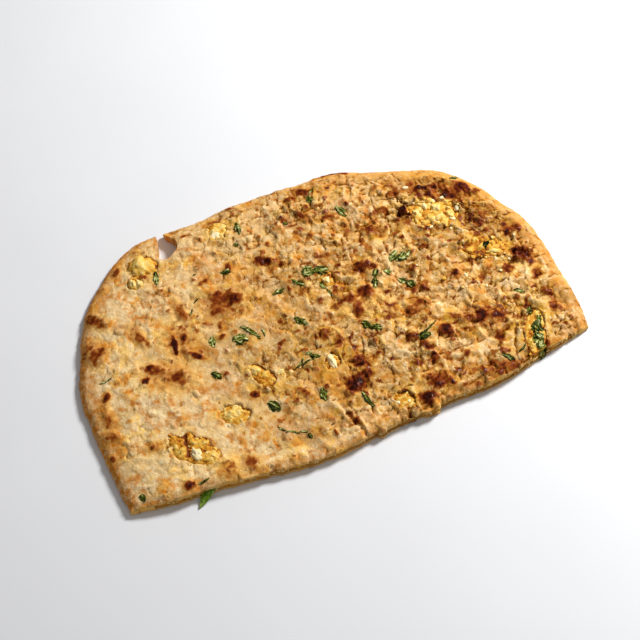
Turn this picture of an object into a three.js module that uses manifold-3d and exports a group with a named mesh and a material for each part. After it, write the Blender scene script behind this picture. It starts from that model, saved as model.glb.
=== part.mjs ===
// Half of a gobi paratha: a hand-rolled wholewheat flatbread stuffed with grated spiced
// cauliflower and coriander, baked on a griddle and cut once, a little off its middle.
// Millimetres. It lies on its flat underside: +Z is up, +X runs along the cut, and the
// origin is the middle of the whole round, on the underside.
import * as THREE from "three";
import { mergeVertices } from "three/addons/utils/BufferGeometryUtils.js";
import { ImprovedNoise } from "three/addons/math/ImprovedNoise.js";
import Module from "manifold-3d";

const wasm = await Module();
wasm.setup();

// Driving dimensions.
const CUT_THICK = 6.0; // both skins and the filling, where the knife went through
const RIM_THICK = 4.2; // sealed dough round the outside
const RIM_WIDTH = 10; // dough with no filling in it
const SKIN_UNDER = 1.3;
const SKIN_OVER = 1.4;
const CLEAR = 0.3; // between the filling or a leaf and the dough round it
const TOP_Z = 12; // above everything, the height that cutters reach
const RINGS = 22; // rings of the top surface, about 5 mm apart
const MIDDLE = new THREE.Vector2(0, 28); // middle of those rings
const CRUMB = 4.6; // an average piece of the grated cauliflower
const LEAF_THICK = 0.45;
const LEAF_WAVE = 0.15; // how far a leaf's blade waves up and down
const THINNEST_SKIN = 0.8; // left over the filling in a furrow

// Unevenness: how far it goes each way and how long its waves are, in mm.
const SWELL = { high: 0.7, long: 26 }; // the broad swells of the filling under the skin
const LUMPS = { high: 0.7, long: 9 }; // the lumps of the filling
const RAGGED_CUT = { high: 0.5, long: 5 };
const RAGGED_RIM = { high: 0.6, long: 8 };
const RAGGED_FRONT = { high: 0.7, long: 4 }; // the filling's face at the cut
const RAGGED_TEAR = { high: 0.3, long: 0.5 }; // as parts of the tear's size
const FRONT_BACK = 1.1; // how far that face stands behind the knife's path

// The side, from the top edge down: how far in, and how high as a part of the thickness.
const TOP_EDGE_IN = 1.8;
const TOP_EDGE_DROP = 0.5;
const SIDE = [
  { back: 0.1, level: 0.66 },
  { back: 0, level: 0.3 },
  { back: 1.1, level: 0 },
];
const CUT_SIDE = 0.4; // the cut side leans in by this part of what the rim does

// The arc, as radius from the origin at each angle, and the cut, as y at each x. The round
// was rolled by hand, so it is fuller at both shoulders than at its crown.
const RIM = [
  [-11, 110.4], [-6, 110.9], [0, 111.8], [6, 112.8], [12, 115.2], [17, 118.2], [22, 120.6],
  [28, 121.0], [34, 123.1], [40, 124.3], [46, 123.8], [51, 120.4], [56, 117.6], [62, 115.8],
  [68, 115.3], [73, 113.2], [78, 110.6], [84, 110.0], [91, 109.3], [96, 110.4], [103, 110.8],
  [108, 113.2], [114, 118.4], [119, 123.2], [124, 124.7], [132, 124.4], [139, 124.3],
  [144, 122.8], [150, 120.6], [158, 119.4], [163, 118.0], [168, 115.4], [174, 114.0],
  [180, 113.3], [186, 113.6], [191, 114.6],
];
const CUT = [
  [-112.5, -21.9], [-92, -25.6], [-74, -27.0], [-56, -29.8], [-30, -33.5], [0, -32.2],
  [32, -30.4], [62, -30.0], [85, -25.4], [108.4, -21.1],
];

// Places where the skin has split over the filling: middle, half sizes, turn in degrees and
// how many crumbs of filling stand in the split.
const TEARS = [
  { x: 73, y: 64, rx: 12.4, ry: 8.2, turn: -25, crumbs: 18 },
  { x: 85, y: 36, rx: 9.6, ry: 5.4, turn: -28, crumbs: 11 },
  { x: 83, y: -17, rx: 4.4, ry: 13.5, turn: -25, crumbs: 9 },
  { x: -23, y: 96.4, rx: 4.0, ry: 4.8, turn: -25, crumbs: 2 },
  { x: -61, y: 92, rx: 6.2, ry: 4.9, turn: -25, crumbs: 0 },
  { x: -68.5, y: 85, rx: 3.2, ry: 3.6, turn: -25, crumbs: 0 },
  { x: -78, y: -6, rx: 11.5, ry: 6.4, turn: -45, crumbs: 12 },
  { x: -54.7, y: 2, rx: 6.4, ry: 4.6, turn: -25, crumbs: 6 },
  { x: -36, y: 15, rx: 7.6, ry: 3.8, turn: -68, crumbs: 6 },
  { x: -5, y: 8.5, rx: 3.2, ry: 4.8, turn: -40, crumbs: 1 },
  { x: 15, y: -22, rx: 4.2, ry: 4, turn: -25, crumbs: 2 },
  { x: 11.6, y: 50, rx: 3.6, ry: 3.8, turn: -25, crumbs: 1 },
];

// Florets that show whole in those splits: middle, half sizes and turn.
const FLORETS = [
  { x: 75.4, y: 65.4, rx: 2.9, ry: 2.7, rz: 2.6, turn: 10 },
  { x: 65.4, y: 67, rx: 2.4, ry: 2.8, rz: 2.4, turn: 50 },
  { x: 79.5, y: 59.5, rx: 3.0, ry: 3.6, rz: 2.4, turn: 0 },
  { x: 88, y: 31.5, rx: 4.0, ry: 2.0, rz: 2.4, turn: -20 },
  { x: -25, y: 94.4, rx: 2.6, ry: 2.6, rz: 2.5, turn: 0 },
  { x: -61, y: 92, rx: 5.1, ry: 4.2, rz: 3.0, turn: -25 },
  { x: -68.4, y: 85.2, rx: 2.6, ry: 2.8, rz: 2.4, turn: 0 },
  { x: -77.4, y: -9.4, rx: 2.8, ry: 2.8, rz: 2.8, turn: 0 },
  { x: -72.6, y: -12.4, rx: 2.8, ry: 2.2, rz: 2.5, turn: -45 },
  { x: -56, y: 2.6, rx: 3.6, ry: 2.8, rz: 2.4, turn: -25 },
  { x: -5, y: 9, rx: 1.5, ry: 4.2, rz: 2.6, turn: 25 },
  { x: 15, y: -22.6, rx: 2.4, ry: 2.6, rz: 2.4, turn: 0 },
  { x: 11.2, y: 49.8, rx: 2.4, ry: 2.6, rz: 2.4, turn: 0 },
];

// Blisters and thick lumps that stand up from the skin: middle, radius and height.
const BLISTERS = [
  [22.5, 101, 6, 1.0], [-33, 58, 8, 0.9], [28, 49, 5, 0.9], [25, 36, 5, 0.9], [16, 32, 5, 0.8],
  [67, 1, 8, 1.1], [48, 1.5, 5, 0.9], [6.5, 3, 5, 1.0], [-1, -6, 6, 1.2], [32, -20, 6, 1.0],
  [25, -25, 4, 0.9], [-67, -21, 5, 0.8], [-92, 73, 6, 0.6], [-78, 37, 5, 0.7],
  [-70, 29, 7, 0.6], [99, 26, 6, 1.2], [91, 72, 6, 1.0], [97, 66, 4, 0.8], [99, -6, 6, 0.9],
  [89, 21, 6, 1.0], [99, 38, 4, 0.9], [42, 19, 8, 1.0], [70, 50, 9, 0.8], [53, 62, 9, 0.7],
  [-95, -18, 6, 0.9], [60, -16, 5, 0.8], [-16, 109, 4, 0.7],
];

// Furrows where the skin has sunk between the lumps: ends, width and depth.
const FURROWS = [
  { from: [91, 51], to: [103, 40], wide: 8, deep: 1.3 },
  { from: [79, 32], to: [74, 8], wide: 5, deep: 0.9 },
  { from: [89, 24], to: [97, 20], wide: 4, deep: 1.0 },
  { from: [36, 20], to: [33, 11], wide: 4, deep: 0.7 },
  { from: [-36, -6], to: [-31, -26], wide: 5, deep: 0.6 },
];

// Coriander: one end, the other end and the width of each bit that lies on the skin.
const LEAVES = [
  { from: [2.3, 57.6], to: [14.4, 54.8], wide: 5.6 },
  { from: [-3.4, 56], to: [1, 50.8], wide: 3.0 },
  { from: [-14.4, 52.3], to: [-8.4, 53.8], wide: 2.4 },
  { from: [-10.8, 36.6], to: [-7.1, 30.4], wide: 3.2 },
  { from: [42, 47.7], to: [53, 48.1], wide: 4.4 },
  { from: [34.2, 44.6], to: [29, 36.2], wide: 2.6 },
  { from: [36.6, 42.6], to: [40.2, 41.4], wide: 2.6 },
  { from: [41.6, 36.8], to: [46.2, 29.8], wide: 3.0 },
  { from: [15.2, 21.5], to: [22.5, 14.9], wide: 3.2 },
  { from: [-13, 16.3], to: [-9, 12.6], wide: 2.0 },
  { from: [-40.4, 38], to: [-34.2, 34.3], wide: 4.8 },
  { from: [-34.8, 42.2], to: [-29.2, 32.5], wide: 2.0 },
  { from: [-48.2, 43], to: [-49.6, 37.2], wide: 3.4 },
  { from: [-55.8, 25.6], to: [-52.9, 21], wide: 3.2 },
  { from: [-39.5, 1.2], to: [-36, -4.4], wide: 4.6 },
  { from: [0, -11], to: [1.4, -20.2], wide: 2.2 },
  { from: [-15.3, -2.2], to: [-16.3, -8.6], wide: 3.0 },
  { from: [34.9, 3.2], to: [40.7, 3.2], wide: 4.6 },
  { from: [64, -19.8], to: [68.4, -24.2], wide: 2.8 },
  { from: [84, -9.6], to: [78, -26.6], wide: 3.4 },
  { from: [-13.6, 96.4], to: [-14.6, 89.8], wide: 2.8 },
  { from: [33.1, 86.4], to: [35.2, 78.8], wide: 2.8 },
  { from: [24.1, 96.6], to: [22.7, 92.2], wide: 2.8 },
  { from: [85.6, 8.6], to: [90, 5.7], wide: 2.2 },
  { from: [-57.8, 87], to: [-59.8, 79.4], wide: 3.0 },
  { from: [-30.8, 73.7], to: [-26.6, 71.8], wide: 2.4 },
  { from: [-105.8, -16.8], to: [-105.5, -20.4], wide: 2.2 },
  { from: [90.2, 79.2], to: [95.8, 80.4], wide: 2.0 },
];
// The bit that hangs out of the filling at the cut.
const HANGING_LEAF = { from: [-77, -22.2], to: [-86.2, -32.2], wide: 5.4 };

// Torn dough that is part of the bread: middle, half sizes and turn.
const FLAKES = [
  { x: -64, y: -27.6, z: 4.9, rx: 5.2, ry: 1.9, rz: 0.7, turn: -8 },
  { x: -24, y: -33.2, z: 4.9, rx: 3.0, ry: 1.6, rz: 0.6, turn: 0 },
  { x: -8.5, y: -29.6, z: 5.4, rx: 2.6, ry: 2.9, rz: 0.8, turn: 30 },
  { x: 24, y: -30.6, z: 0.9, rx: 5.6, ry: 2.0, rz: 0.8, turn: -6 },
  { x: 0, y: -32.2, z: 0.8, rx: 3.2, ry: 1.2, rz: 0.7, turn: 4 },
  { x: 50.4, y: 104.8, z: 4.0, rx: 1.0, ry: 3.0, rz: 0.8, turn: -25 },
];

// The tear in the rim that goes right through, and the split near the middle of the cut.
const NOTCH = [
  [-49.5, 118], [-49.5, 106], [-51.5, 98], [-53.6, 95], [-53.4, 92.2], [-49.8, 91.2],
  [-47.2, 92.4], [-43.2, 95], [-42, 99.2], [-43.4, 102.2], [-46, 105.4], [-45.6, 118],
];
const SPLIT = { from: [-12, -12.5], to: [-7.4, -34], wide: 1.5, deep: 1.1 };

const bump = new ImprovedNoise();
const relief = (x, y, { high, long }, seed) => high * bump.noise(x / long, y / long, seed);
const smooth = (t) => THREE.MathUtils.smoothstep(t, 0, 1);

function seeded(seed) {
  return () => {
    seed = (seed * 1664525 + 1013904223) >>> 0;
    return seed / 2 ** 32;
  };
}

// A smooth curve through the stations of RIM or CUT.
function through(stations) {
  const curve = new THREE.CubicInterpolant(
    Float32Array.from(stations, (s) => s[0]),
    Float32Array.from(stations, (s) => s[1]),
    1,
    new Float32Array(1),
  );
  return (t) => curve.evaluate(t)[0];
}
const FILL_LOW = SKIN_UNDER + CLEAR;
const POCKET_TOP = CUT_THICK - SKIN_OVER - SWELL.high / 2;
const FILL_TOP = POCKET_TOP - CLEAR;
const rimRadius = through(RIM);
const cutY = through(CUT);
const RIGHT = RIM[0][0];
const LEFT = RIM[RIM.length - 1][0];
const CUT_LEFT = CUT[0][0];
const CUT_RIGHT = CUT[CUT.length - 1][0];

// The outline at s from 0 to 1: the cut takes a third of it, then the arc the other way back.
function outline(s) {
  if (s < 1 / 3) {
    const x = THREE.MathUtils.lerp(CUT_LEFT, CUT_RIGHT, s * 3);
    return new THREE.Vector2(x, cutY(x) + relief(x, 0, RAGGED_CUT, 3.3));
  }
  const angle = THREE.MathUtils.lerp(RIGHT, LEFT, (s - 1 / 3) * 1.5);
  const a = THREE.MathUtils.degToRad(angle);
  const r = rimRadius(angle) + relief(120 * a, 0, RAGGED_RIM, 7.1);
  return new THREE.Vector2(r * Math.cos(a), r * Math.sin(a));
}
const onCut = (s) => s < 1 / 3 + 1e-6;

// The point of the outline at s, moved in by inset.
function inset(s, by) {
  const p = outline(s).sub(MIDDLE);
  return p.multiplyScalar(1 - by / p.length()).add(MIDDLE);
}

// How far x, y is from the straight line between two ends.
function awayFrom(x, y, [ax, ay], [bx, by]) {
  const dx = bx - ax;
  const dy = by - ay;
  const t = THREE.MathUtils.clamp(((x - ax) * dx + (y - ay) * dy) / (dx * dx + dy * dy), 0, 1);
  return Math.hypot(x - ax - t * dx, y - ay - t * dy);
}

// Height of the upper skin: thinner towards the rim, lumpy over the filling, with blisters.
function skinHeight(x, y) {
  const angle = THREE.MathUtils.radToDeg(Math.atan2(y, x));
  const turned = angle < -90 ? angle + 360 : angle;
  const fromRim = rimRadius(THREE.MathUtils.clamp(turned, RIGHT, LEFT)) - Math.hypot(x, y);
  const stuffed = smooth(fromRim / (1.6 * RIM_WIDTH));
  let z = THREE.MathUtils.lerp(RIM_THICK, CUT_THICK, stuffed);
  z += (0.3 + 0.7 * stuffed) * (relief(x, y, SWELL, 1.7) + relief(x, y, LUMPS, 5.2));
  for (const [bx, by, radius, height] of BLISTERS) {
    const d = Math.hypot(x - bx, y - by) / radius;
    z += 0.8 * height * Math.exp(-2 * d * d);
  }
  for (const { from, to, wide, deep } of FURROWS) {
    const d = awayFrom(x, y, from, to) / wide;
    z -= deep * Math.exp(-4 * d * d);
  }
  const lowest = THREE.MathUtils.lerp(
    RIM_THICK - THINNEST_SKIN,
    POCKET_TOP + THINNEST_SKIN,
    smooth(fromRim / RIM_WIDTH),
  );
  return Math.max(z, lowest);
}

function indexed(points, triangles) {
  const geometry = new THREE.BufferGeometry();
  geometry.setAttribute("position", new THREE.Float32BufferAttribute(points, 3));
  geometry.setIndex(triangles);
  return geometry;
}

function solid(geometry) {
  geometry.deleteAttribute("normal");
  geometry.deleteAttribute("uv");
  const merged = mergeVertices(geometry, 1e-4);
  return new wasm.Manifold(
    new wasm.Mesh({
      numProp: 3,
      vertProperties: merged.attributes.position.array,
      triVerts: new Uint32Array(merged.index.array),
    }),
  );
}

// A straight-sided cutter over a closed outline, from z = low to z = high.
function prism(points, low, high) {
  const made = new THREE.ExtrudeGeometry(new THREE.Shape(points), {
    depth: high - low,
    bevelEnabled: false,
  });
  return solid(made.translate(0, 0, low));
}

// A disc of rings: ring i has 6 i points, so that its triangles are all about one size.
// place(s, ring) gives the point at s on that ring.
function disc(rings, place) {
  const points = [];
  const first = [0];
  points.push(...place(0, 0));
  for (let i = 1; i <= rings; i++) {
    first.push(points.length / 3);
    for (let j = 0; j < 6 * i; j++) points.push(...place(j / (6 * i), i));
  }
  const triangles = [];
  const at = (i, j) => (i === 0 ? 0 : first[i] + (j % (6 * i)));
  for (let i = 1; i <= rings; i++) {
    for (let side = 0; side < 6; side++) {
      for (let j = 0; j < i; j++) {
        const outer = side * i + j;
        const inner = side * (i - 1) + j;
        triangles.push(at(i - 1, inner), at(i, outer), at(i, outer + 1));
        if (j < i - 1) triangles.push(at(i - 1, inner), at(i, outer + 1), at(i - 1, inner + 1));
      }
    }
  }
  return { points, triangles, edge: first[rings] };
}

// The whole bread as one closed body: a lumpy top, a rounded side and a flat underside.
function breadBody() {
  const count = 6 * RINGS;
  const top = disc(RINGS, (s, ring) => {
    const p = inset(s, onCut(s) ? CUT_SIDE : TOP_EDGE_IN).sub(MIDDLE);
    p.multiplyScalar(ring / RINGS).add(MIDDLE);
    const drop = ring === RINGS && !onCut(s) ? TOP_EDGE_DROP : 0;
    return [p.x, p.y, skinHeight(p.x, p.y) - drop];
  });
  const { points, triangles } = top;
  let above = top.edge;
  for (const { back, level } of SIDE) {
    const start = points.length / 3;
    for (let j = 0; j < count; j++) {
      const s = j / count;
      const p = inset(s, onCut(s) ? CUT_SIDE * back : back);
      points.push(p.x, p.y, level * skinHeight(p.x, p.y));
    }
    for (let j = 0; j < count; j++) {
      const k = (j + 1) % count;
      triangles.push(above + j, start + j, start + k, above + j, start + k, above + k);
    }
    above = start;
  }
  const foot = [];
  for (let j = 0; j < count; j++) {
    foot.push(new THREE.Vector2(points[3 * (above + j)], points[3 * (above + j) + 1]));
  }
  for (const [a, b, c] of THREE.ShapeUtils.triangulateShape(foot, [])) {
    triangles.push(above + a, above + c, above + b);
  }
  return solid(indexed(points, triangles));
}

// The outline of the filling, moved in by `by`. Its front is ragged, a little behind the knife.
function fillingOutline(by, front) {
  const points = [];
  const steps = 96;
  for (let j = 0; j < steps; j++) {
    const s = j / steps;
    if (onCut(s)) {
      const p = inset(s, 0);
      const x = THREE.MathUtils.clamp(p.x, CUT_LEFT + RIM_WIDTH, CUT_RIGHT - RIM_WIDTH);
      points.push(new THREE.Vector2(x, p.y + front(x)));
    } else {
      points.push(inset(s, RIM_WIDTH + by));
    }
  }
  return points.filter((p, i) => i === 0 || p.distanceTo(points[i - 1]) > 0.5);
}

function tearOutline(tear, index, by) {
  const points = [];
  const turn = THREE.MathUtils.degToRad(tear.turn);
  const steps = 14;
  for (let k = 0; k < steps; k++) {
    const a = (2 * Math.PI * k) / steps;
    const ragged = 1 + relief(Math.cos(a), Math.sin(a), RAGGED_TEAR, 3.7 * index + 0.4);
    const p = new THREE.Vector2(
      (tear.rx * ragged - by) * Math.cos(a),
      (tear.ry * ragged - by) * Math.sin(a),
    );
    points.push(p.rotateAround(new THREE.Vector2(), turn).add(new THREE.Vector2(tear.x, tear.y)));
  }
  return points;
}

// A ball of twenty faces, or eighty with detail 1, whose corners are pushed in and out.
function roughBall(detail, rough, random) {
  const ball = new THREE.IcosahedronGeometry(1, detail);
  ball.deleteAttribute("normal");
  ball.deleteAttribute("uv");
  const geometry = mergeVertices(ball, 1e-4);
  const position = geometry.attributes.position;
  for (let i = 0; i < position.count; i++) {
    const k = 1 + rough * (random() - 0.5);
    position.setXYZ(i, position.getX(i) * k, position.getY(i) * k, position.getZ(i) * k);
  }
  return geometry;
}

// A flake of dough or a whole floret.
function lump({ x, y, z, rx, ry, rz, turn }, rough, random) {
  const geometry = roughBall(1, rough, random).scale(rx, ry, rz);
  geometry.rotateZ(THREE.MathUtils.degToRad(turn));
  return solid(geometry.translate(x, y, z));
}

// A crumb of cauliflower, turned at random and a little flatter than it is wide.
function crumb(x, y, z, size, random) {
  const geometry = roughBall(0, 0.36, random);
  geometry.rotateX(3 * random()).rotateY(3 * random());
  geometry.scale(0.5 * size, 0.5 * size, 0.42 * size);
  return solid(geometry.translate(x, y, z));
}

// Half the width of a leaf at t from 0 to 1 along it: full near its middle, narrow at its ends.
const leafHalf = (wide, t) => (wide / 2) * Math.max(0.2, Math.sin(Math.PI * (0.12 + 0.8 * t)));

// A point at t along a leaf and off to one side of its midrib.
function besideLeaf({ from, to }, t, off) {
  const start = new THREE.Vector2(...from);
  const along = new THREE.Vector2(...to).sub(start);
  const across = new THREE.Vector2(-along.y, along.x).normalize();
  return start.addScaledVector(along, t).addScaledVector(across, off);
}

// A coriander leaf: a thin wavy blade with a toothed edge, from one end to the other.
// height(t) gives its underside. Both faces have the same triangles.
function leaf(shape, height) {
  const steps = 5;
  const points = [];
  for (const lift of [0, LEAF_THICK]) {
    for (let i = 0; i <= steps; i++) {
      const t = i / steps;
      const half = leafHalf(shape.wide, t) * (i % 2 ? 1 : 0.72);
      for (const side of [-1, 0, 1]) {
        const p = besideLeaf(shape, t, side * half);
        points.push(p.x, p.y, height(t) + LEAF_WAVE * Math.sin(5 * t + 2 * side) + lift);
      }
    }
  }
  const triangles = [];
  const quad = (a, b, c, d) => triangles.push(a, b, c, a, c, d);
  const layer = 3 * (steps + 1);
  for (let i = 0; i < steps; i++) {
    for (const a of [3 * i, 3 * i + 1]) {
      quad(a, a + 1, a + 4, a + 3);
      quad(layer + a + 3, layer + a + 4, layer + a + 1, layer + a);
    }
    const left = 3 * i;
    const right = left + 2;
    quad(left, left + 3, layer + left + 3, layer + left);
    quad(layer + right, layer + right + 3, right + 3, right);
  }
  for (const a of [0, 1]) {
    const b = 3 * steps + a;
    quad(a + 1, a, layer + a, layer + a + 1);
    quad(b, b + 1, layer + b + 1, layer + b);
  }
  return solid(indexed(points, triangles));
}

// The space that a leaf lies in: its outline grown by twice CLEAR, from z = low up.
function leafSpace(shape, low) {
  const grown = 2 * CLEAR;
  const length = new THREE.Vector2(...shape.from).distanceTo(new THREE.Vector2(...shape.to));
  const reach = grown / length;
  const side = (k) =>
    [-reach, 0.3, 0.7, 1 + reach].map((t) =>
      besideLeaf(shape, t, k * (leafHalf(shape.wide, THREE.MathUtils.clamp(t, 0, 1)) + grown)),
    );
  return prism([...side(-1), ...side(1).reverse()], low, TOP_Z);
}

// The wedge that opens the split: widest at its far end, on the cut.
function splitCutter() {
  const side = (k) =>
    [0, 0.25, 0.5, 0.75, 1].map((t) => {
      const half = (k * SPLIT.wide * Math.sin(Math.PI * (0.1 + 0.6 * t))) / 2;
      return besideLeaf(SPLIT, t, half + 1.2 * Math.sin(7 * t));
    });
  const [x, y] = SPLIT.from;
  return prism([...side(-1), ...side(1).reverse()], skinHeight(x, y) - SPLIT.deep, TOP_Z);
}

// The largest body of a solid: a crumb or scrap that a cutter has set free is left out.
function largest(made) {
  return made.decompose().sort((a, b) => b.volume() - a.volume())[0];
}

const notchOutline = NOTCH.map((p) => new THREE.Vector2(...p));

// The underside of a leaf that lies on the skin, pressed a little into it.
function leafLevel({ from, to }) {
  const [ax, ay] = from;
  const [bx, by] = to;
  const middle = skinHeight((ax + bx) / 2, (ay + by) / 2);
  return Math.min(skinHeight(ax, ay), skinHeight(bx, by), middle) - LEAF_THICK / 2;
}
const lyingLeaf = (shape) => leaf(shape, () => leafLevel(shape));
const lyingSpace = (shape) => leafSpace(shape, leafLevel(shape) - CLEAR - LEAF_WAVE);

// The bit at the cut leaves the filling half way up and bends down past the lower skin.
const hangingHeight = (t) => THREE.MathUtils.lerp(CUT_THICK / 2, LEAF_THICK * 2, smooth(1.15 * t));
const hangingLeaf = () => leaf(HANGING_LEAF, hangingHeight);
const hangingSpace = () => leafSpace(HANGING_LEAF, hangingHeight(0.4) - CLEAR - LEAF_WAVE);

function makeBread() {
  const random = seeded(11);
  let dough = breadBody();
  for (const flake of FLAKES) dough = dough.add(lump(flake, 0.35, random));
  const pastKnife = () => -RIM_WIDTH / 2;
  dough = dough.subtract(prism(fillingOutline(0, pastKnife), SKIN_UNDER, POCKET_TOP));
  TEARS.forEach((tear, i) => {
    dough = dough.subtract(prism(tearOutline(tear, i, 0), SKIN_UNDER, TOP_Z));
  });
  dough = dough.subtract(prism(notchOutline, -1, TOP_Z));
  dough = dough.subtract(splitCutter());
  for (const shape of LEAVES) dough = dough.subtract(lyingSpace(shape));
  return largest(dough);
}

// The crumbs and florets that stand in one split, cut to its outline.
function inTear(tear, index, random) {
  const pieces = [];
  for (let k = 0; k < tear.crumbs; k++) {
    const far = Math.sqrt(random());
    const a = 2 * Math.PI * random();
    const p = new THREE.Vector2(tear.rx * far * Math.cos(a), tear.ry * far * Math.sin(a));
    p.rotateAround(new THREE.Vector2(), THREE.MathUtils.degToRad(tear.turn));
    const size = CRUMB * (0.7 + 0.6 * random());
    pieces.push(crumb(tear.x + p.x, tear.y + p.y, FILL_TOP + 0.5 * random(), size, random));
  }
  for (const floret of FLORETS) {
    if (Math.hypot(floret.x - tear.x, floret.y - tear.y) < tear.rx) {
      pieces.push(lump({ ...floret, z: FILL_TOP }, 0.25, random));
    }
  }
  const heap = pieces.reduce((joined, piece) => joined.add(piece));
  return heap.intersect(prism(tearOutline(tear, index, CLEAR), FILL_LOW, TOP_Z));
}

function makeFilling() {
  const random = seeded(29);
  const front = (x) => FRONT_BACK + relief(x, 0, RAGGED_FRONT, 9.3);
  let mash = prism(fillingOutline(CLEAR, front), FILL_LOW, FILL_TOP);
  TEARS.forEach((tear, i) => {
    mash = mash.add(inTear(tear, i, random));
  });
  mash = mash.subtract(prism(notchOutline, -1, TOP_Z));
  for (const shape of LEAVES) mash = mash.subtract(lyingSpace(shape));
  mash = mash.subtract(hangingSpace());
  return largest(mash);
}

const finish = (color, roughness) =>
  new THREE.MeshStandardMaterial({ color, roughness, metalness: 0 });
const doughFinish = finish(0xd39a54, 0.62);
const fillingFinish = finish(0xe0b64c, 0.5);
const leafFinish = finish(0x3c5a22, 0.5);

function named(name, made, material) {
  const { vertProperties, triVerts } = made.getMesh();
  const mesh = new THREE.Mesh(indexed(vertProperties, Array.from(triVerts)), material);
  mesh.name = name;
  return mesh;
}

const paratha = new THREE.Group();
paratha.add(named("bread", makeBread(), doughFinish));
paratha.add(named("filling", makeFilling(), fillingFinish));
[...LEAVES.map(lyingLeaf), hangingLeaf()].forEach((made, i) => {
  paratha.add(named(`coriander_${String(i + 1).padStart(2, "0")}`, made, leafFinish));
});

export default paratha;
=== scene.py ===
import functools
import math

import bmesh
import bpy
import numpy as np
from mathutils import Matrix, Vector
from mathutils.bvhtree import BVHTree
from mathutils.kdtree import KDTree


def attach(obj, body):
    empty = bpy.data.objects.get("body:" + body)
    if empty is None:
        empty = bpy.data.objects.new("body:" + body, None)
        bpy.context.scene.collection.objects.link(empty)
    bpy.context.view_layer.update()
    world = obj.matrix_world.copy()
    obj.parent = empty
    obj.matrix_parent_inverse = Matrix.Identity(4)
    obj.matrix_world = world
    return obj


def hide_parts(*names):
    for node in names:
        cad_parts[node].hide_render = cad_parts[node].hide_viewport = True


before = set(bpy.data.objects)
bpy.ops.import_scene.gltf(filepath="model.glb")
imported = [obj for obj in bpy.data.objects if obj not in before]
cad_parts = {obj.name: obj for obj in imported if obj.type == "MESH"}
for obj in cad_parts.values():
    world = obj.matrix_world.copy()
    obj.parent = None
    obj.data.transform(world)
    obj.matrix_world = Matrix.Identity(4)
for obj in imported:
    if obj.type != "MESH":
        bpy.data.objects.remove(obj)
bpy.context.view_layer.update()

# Dough: its outline
# Wholewheat dough, rolled out by hand round its filling and baked on an oiled griddle. Lower
# skin, sealed rim and upper skin are one piece, cut once a little off the middle of the round.
# Sizes and places are in mm and turns in degrees, here and in every section below.

MM = 0.001  # in metres
MIDDLE = np.array([0.0, 28.0])  # of the half round
EDGE_LEVEL = 1.25  # height at which the outline is read off the solid, under the filling
OUTSIDE = 200.0  # distance from MIDDLE that is well outside the bread
TURN_STEP = 0.2
NOTCH_TURN = (118.5, 124.5)  # round MIDDLE, where the rim is torn through
SHOULDERS = (27.0, 152.0)  # round MIDDLE, where the surface's grid has its upper corners
CUT_CORNERS = (204, 335)  # round MIDDLE, near the two ends of the cut
CORNER_SEARCH = 4  # how far either way of those the corners are looked for
OUTLINE_POINTS = 3000
CORNER_ROWS = 4  # rows over which the grid's sides run into the corners of the cut
# Layers of noise: how strong each is, how far apart its swells are and its seed.
CUT_RAGGED = [(0.35, 2.4, 51), (0.35, 6, 52)]
RIM_RAGGED = [(0.25, 3, 53)]
NOISE_TABLE = 256  # slopes each way before a noise repeats itself
NOISE_STRENGTH = 1.6  # brings its swells to about -1 and 1


def surface_of(*meshes):
    """A tree of their faces, to find heights and distances with."""
    points, faces = [], []
    for mesh in meshes:
        start = len(points)
        points += [v.co for v in mesh.vertices]
        faces += [[start + i for i in p.vertices] for p in mesh.polygons]
    return BVHTree.FromPolygons(points, faces)


def smooth(t):
    t = np.clip(t, 0.0, 1.0)
    return t * t * (3 - 2 * t)


@functools.cache
def dice_table(seed, low, high, *shape):
    return np.random.default_rng(seed).uniform(low, high, shape)


def noise(x, y, size, seed):
    """Smooth swells between about -1 and 1, `size` apart."""
    turn = dice_table(seed, 0, 2 * np.pi, NOISE_TABLE, NOISE_TABLE)
    u, v = x / size, y / size
    i, j = np.floor(u).astype(int), np.floor(v).astype(int)
    u, v = u - i, v - j

    def corner(a, b):
        slope = turn[(i + a) % NOISE_TABLE, (j + b) % NOISE_TABLE]
        return (u - a) * np.cos(slope) + (v - b) * np.sin(slope)

    su, sv = smooth(u), smooth(v)
    low = corner(0, 0) * (1 - su) + corner(1, 0) * su
    high = corner(0, 1) * (1 - su) + corner(1, 1) * su
    return NOISE_STRENGTH * (low * (1 - sv) + high * sv)


def swells(x, y, layers):
    """Several layers of noise in one."""
    return sum(strength * noise(x, y, size, seed) for strength, size, seed in layers)


dough_solid = surface_of(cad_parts["bread"].data)
degrees = np.arange(0.0, 360.0, TURN_STEP)
radii = []
for degree in degrees:
    out = Vector((math.cos(math.radians(degree)), math.sin(math.radians(degree)), 0))
    start = Vector((MIDDLE[0], MIDDLE[1], EDGE_LEVEL)) * MM + OUTSIDE * MM * out
    radii.append(OUTSIDE - dough_solid.ray_cast(start, -out)[3] / MM)
radii = np.array(radii)
torn = (degrees > NOTCH_TURN[0]) & (degrees < NOTCH_TURN[1])
radii[torn] = np.interp(degrees[torn], degrees[~torn], radii[~torn])


def corner_near(degree):
    nearby = np.abs(degrees - degree) < CORNER_SEARCH
    return degrees[nearby][np.argmax(radii[nearby])]


CUT_LEFT, CUT_RIGHT = [corner_near(degree) for degree in CUT_CORNERS]


def stretch(first, last, count):
    """count even steps along the outline, between two angles round MIDDLE."""
    turn = np.linspace(first, last, OUTLINE_POINTS)
    radius = np.interp(turn, degrees, radii, period=360)
    turn = np.radians(turn)
    line = MIDDLE + radius[:, None] * np.stack([np.cos(turn), np.sin(turn)], 1)
    gone = np.concatenate([[0], np.cumsum(np.hypot(*np.diff(line, axis=0).T))])
    steps = np.linspace(0, gone[-1], count + 1)
    return np.stack([np.interp(steps, gone, line[:, k]) for k in (0, 1)], 1)


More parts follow.
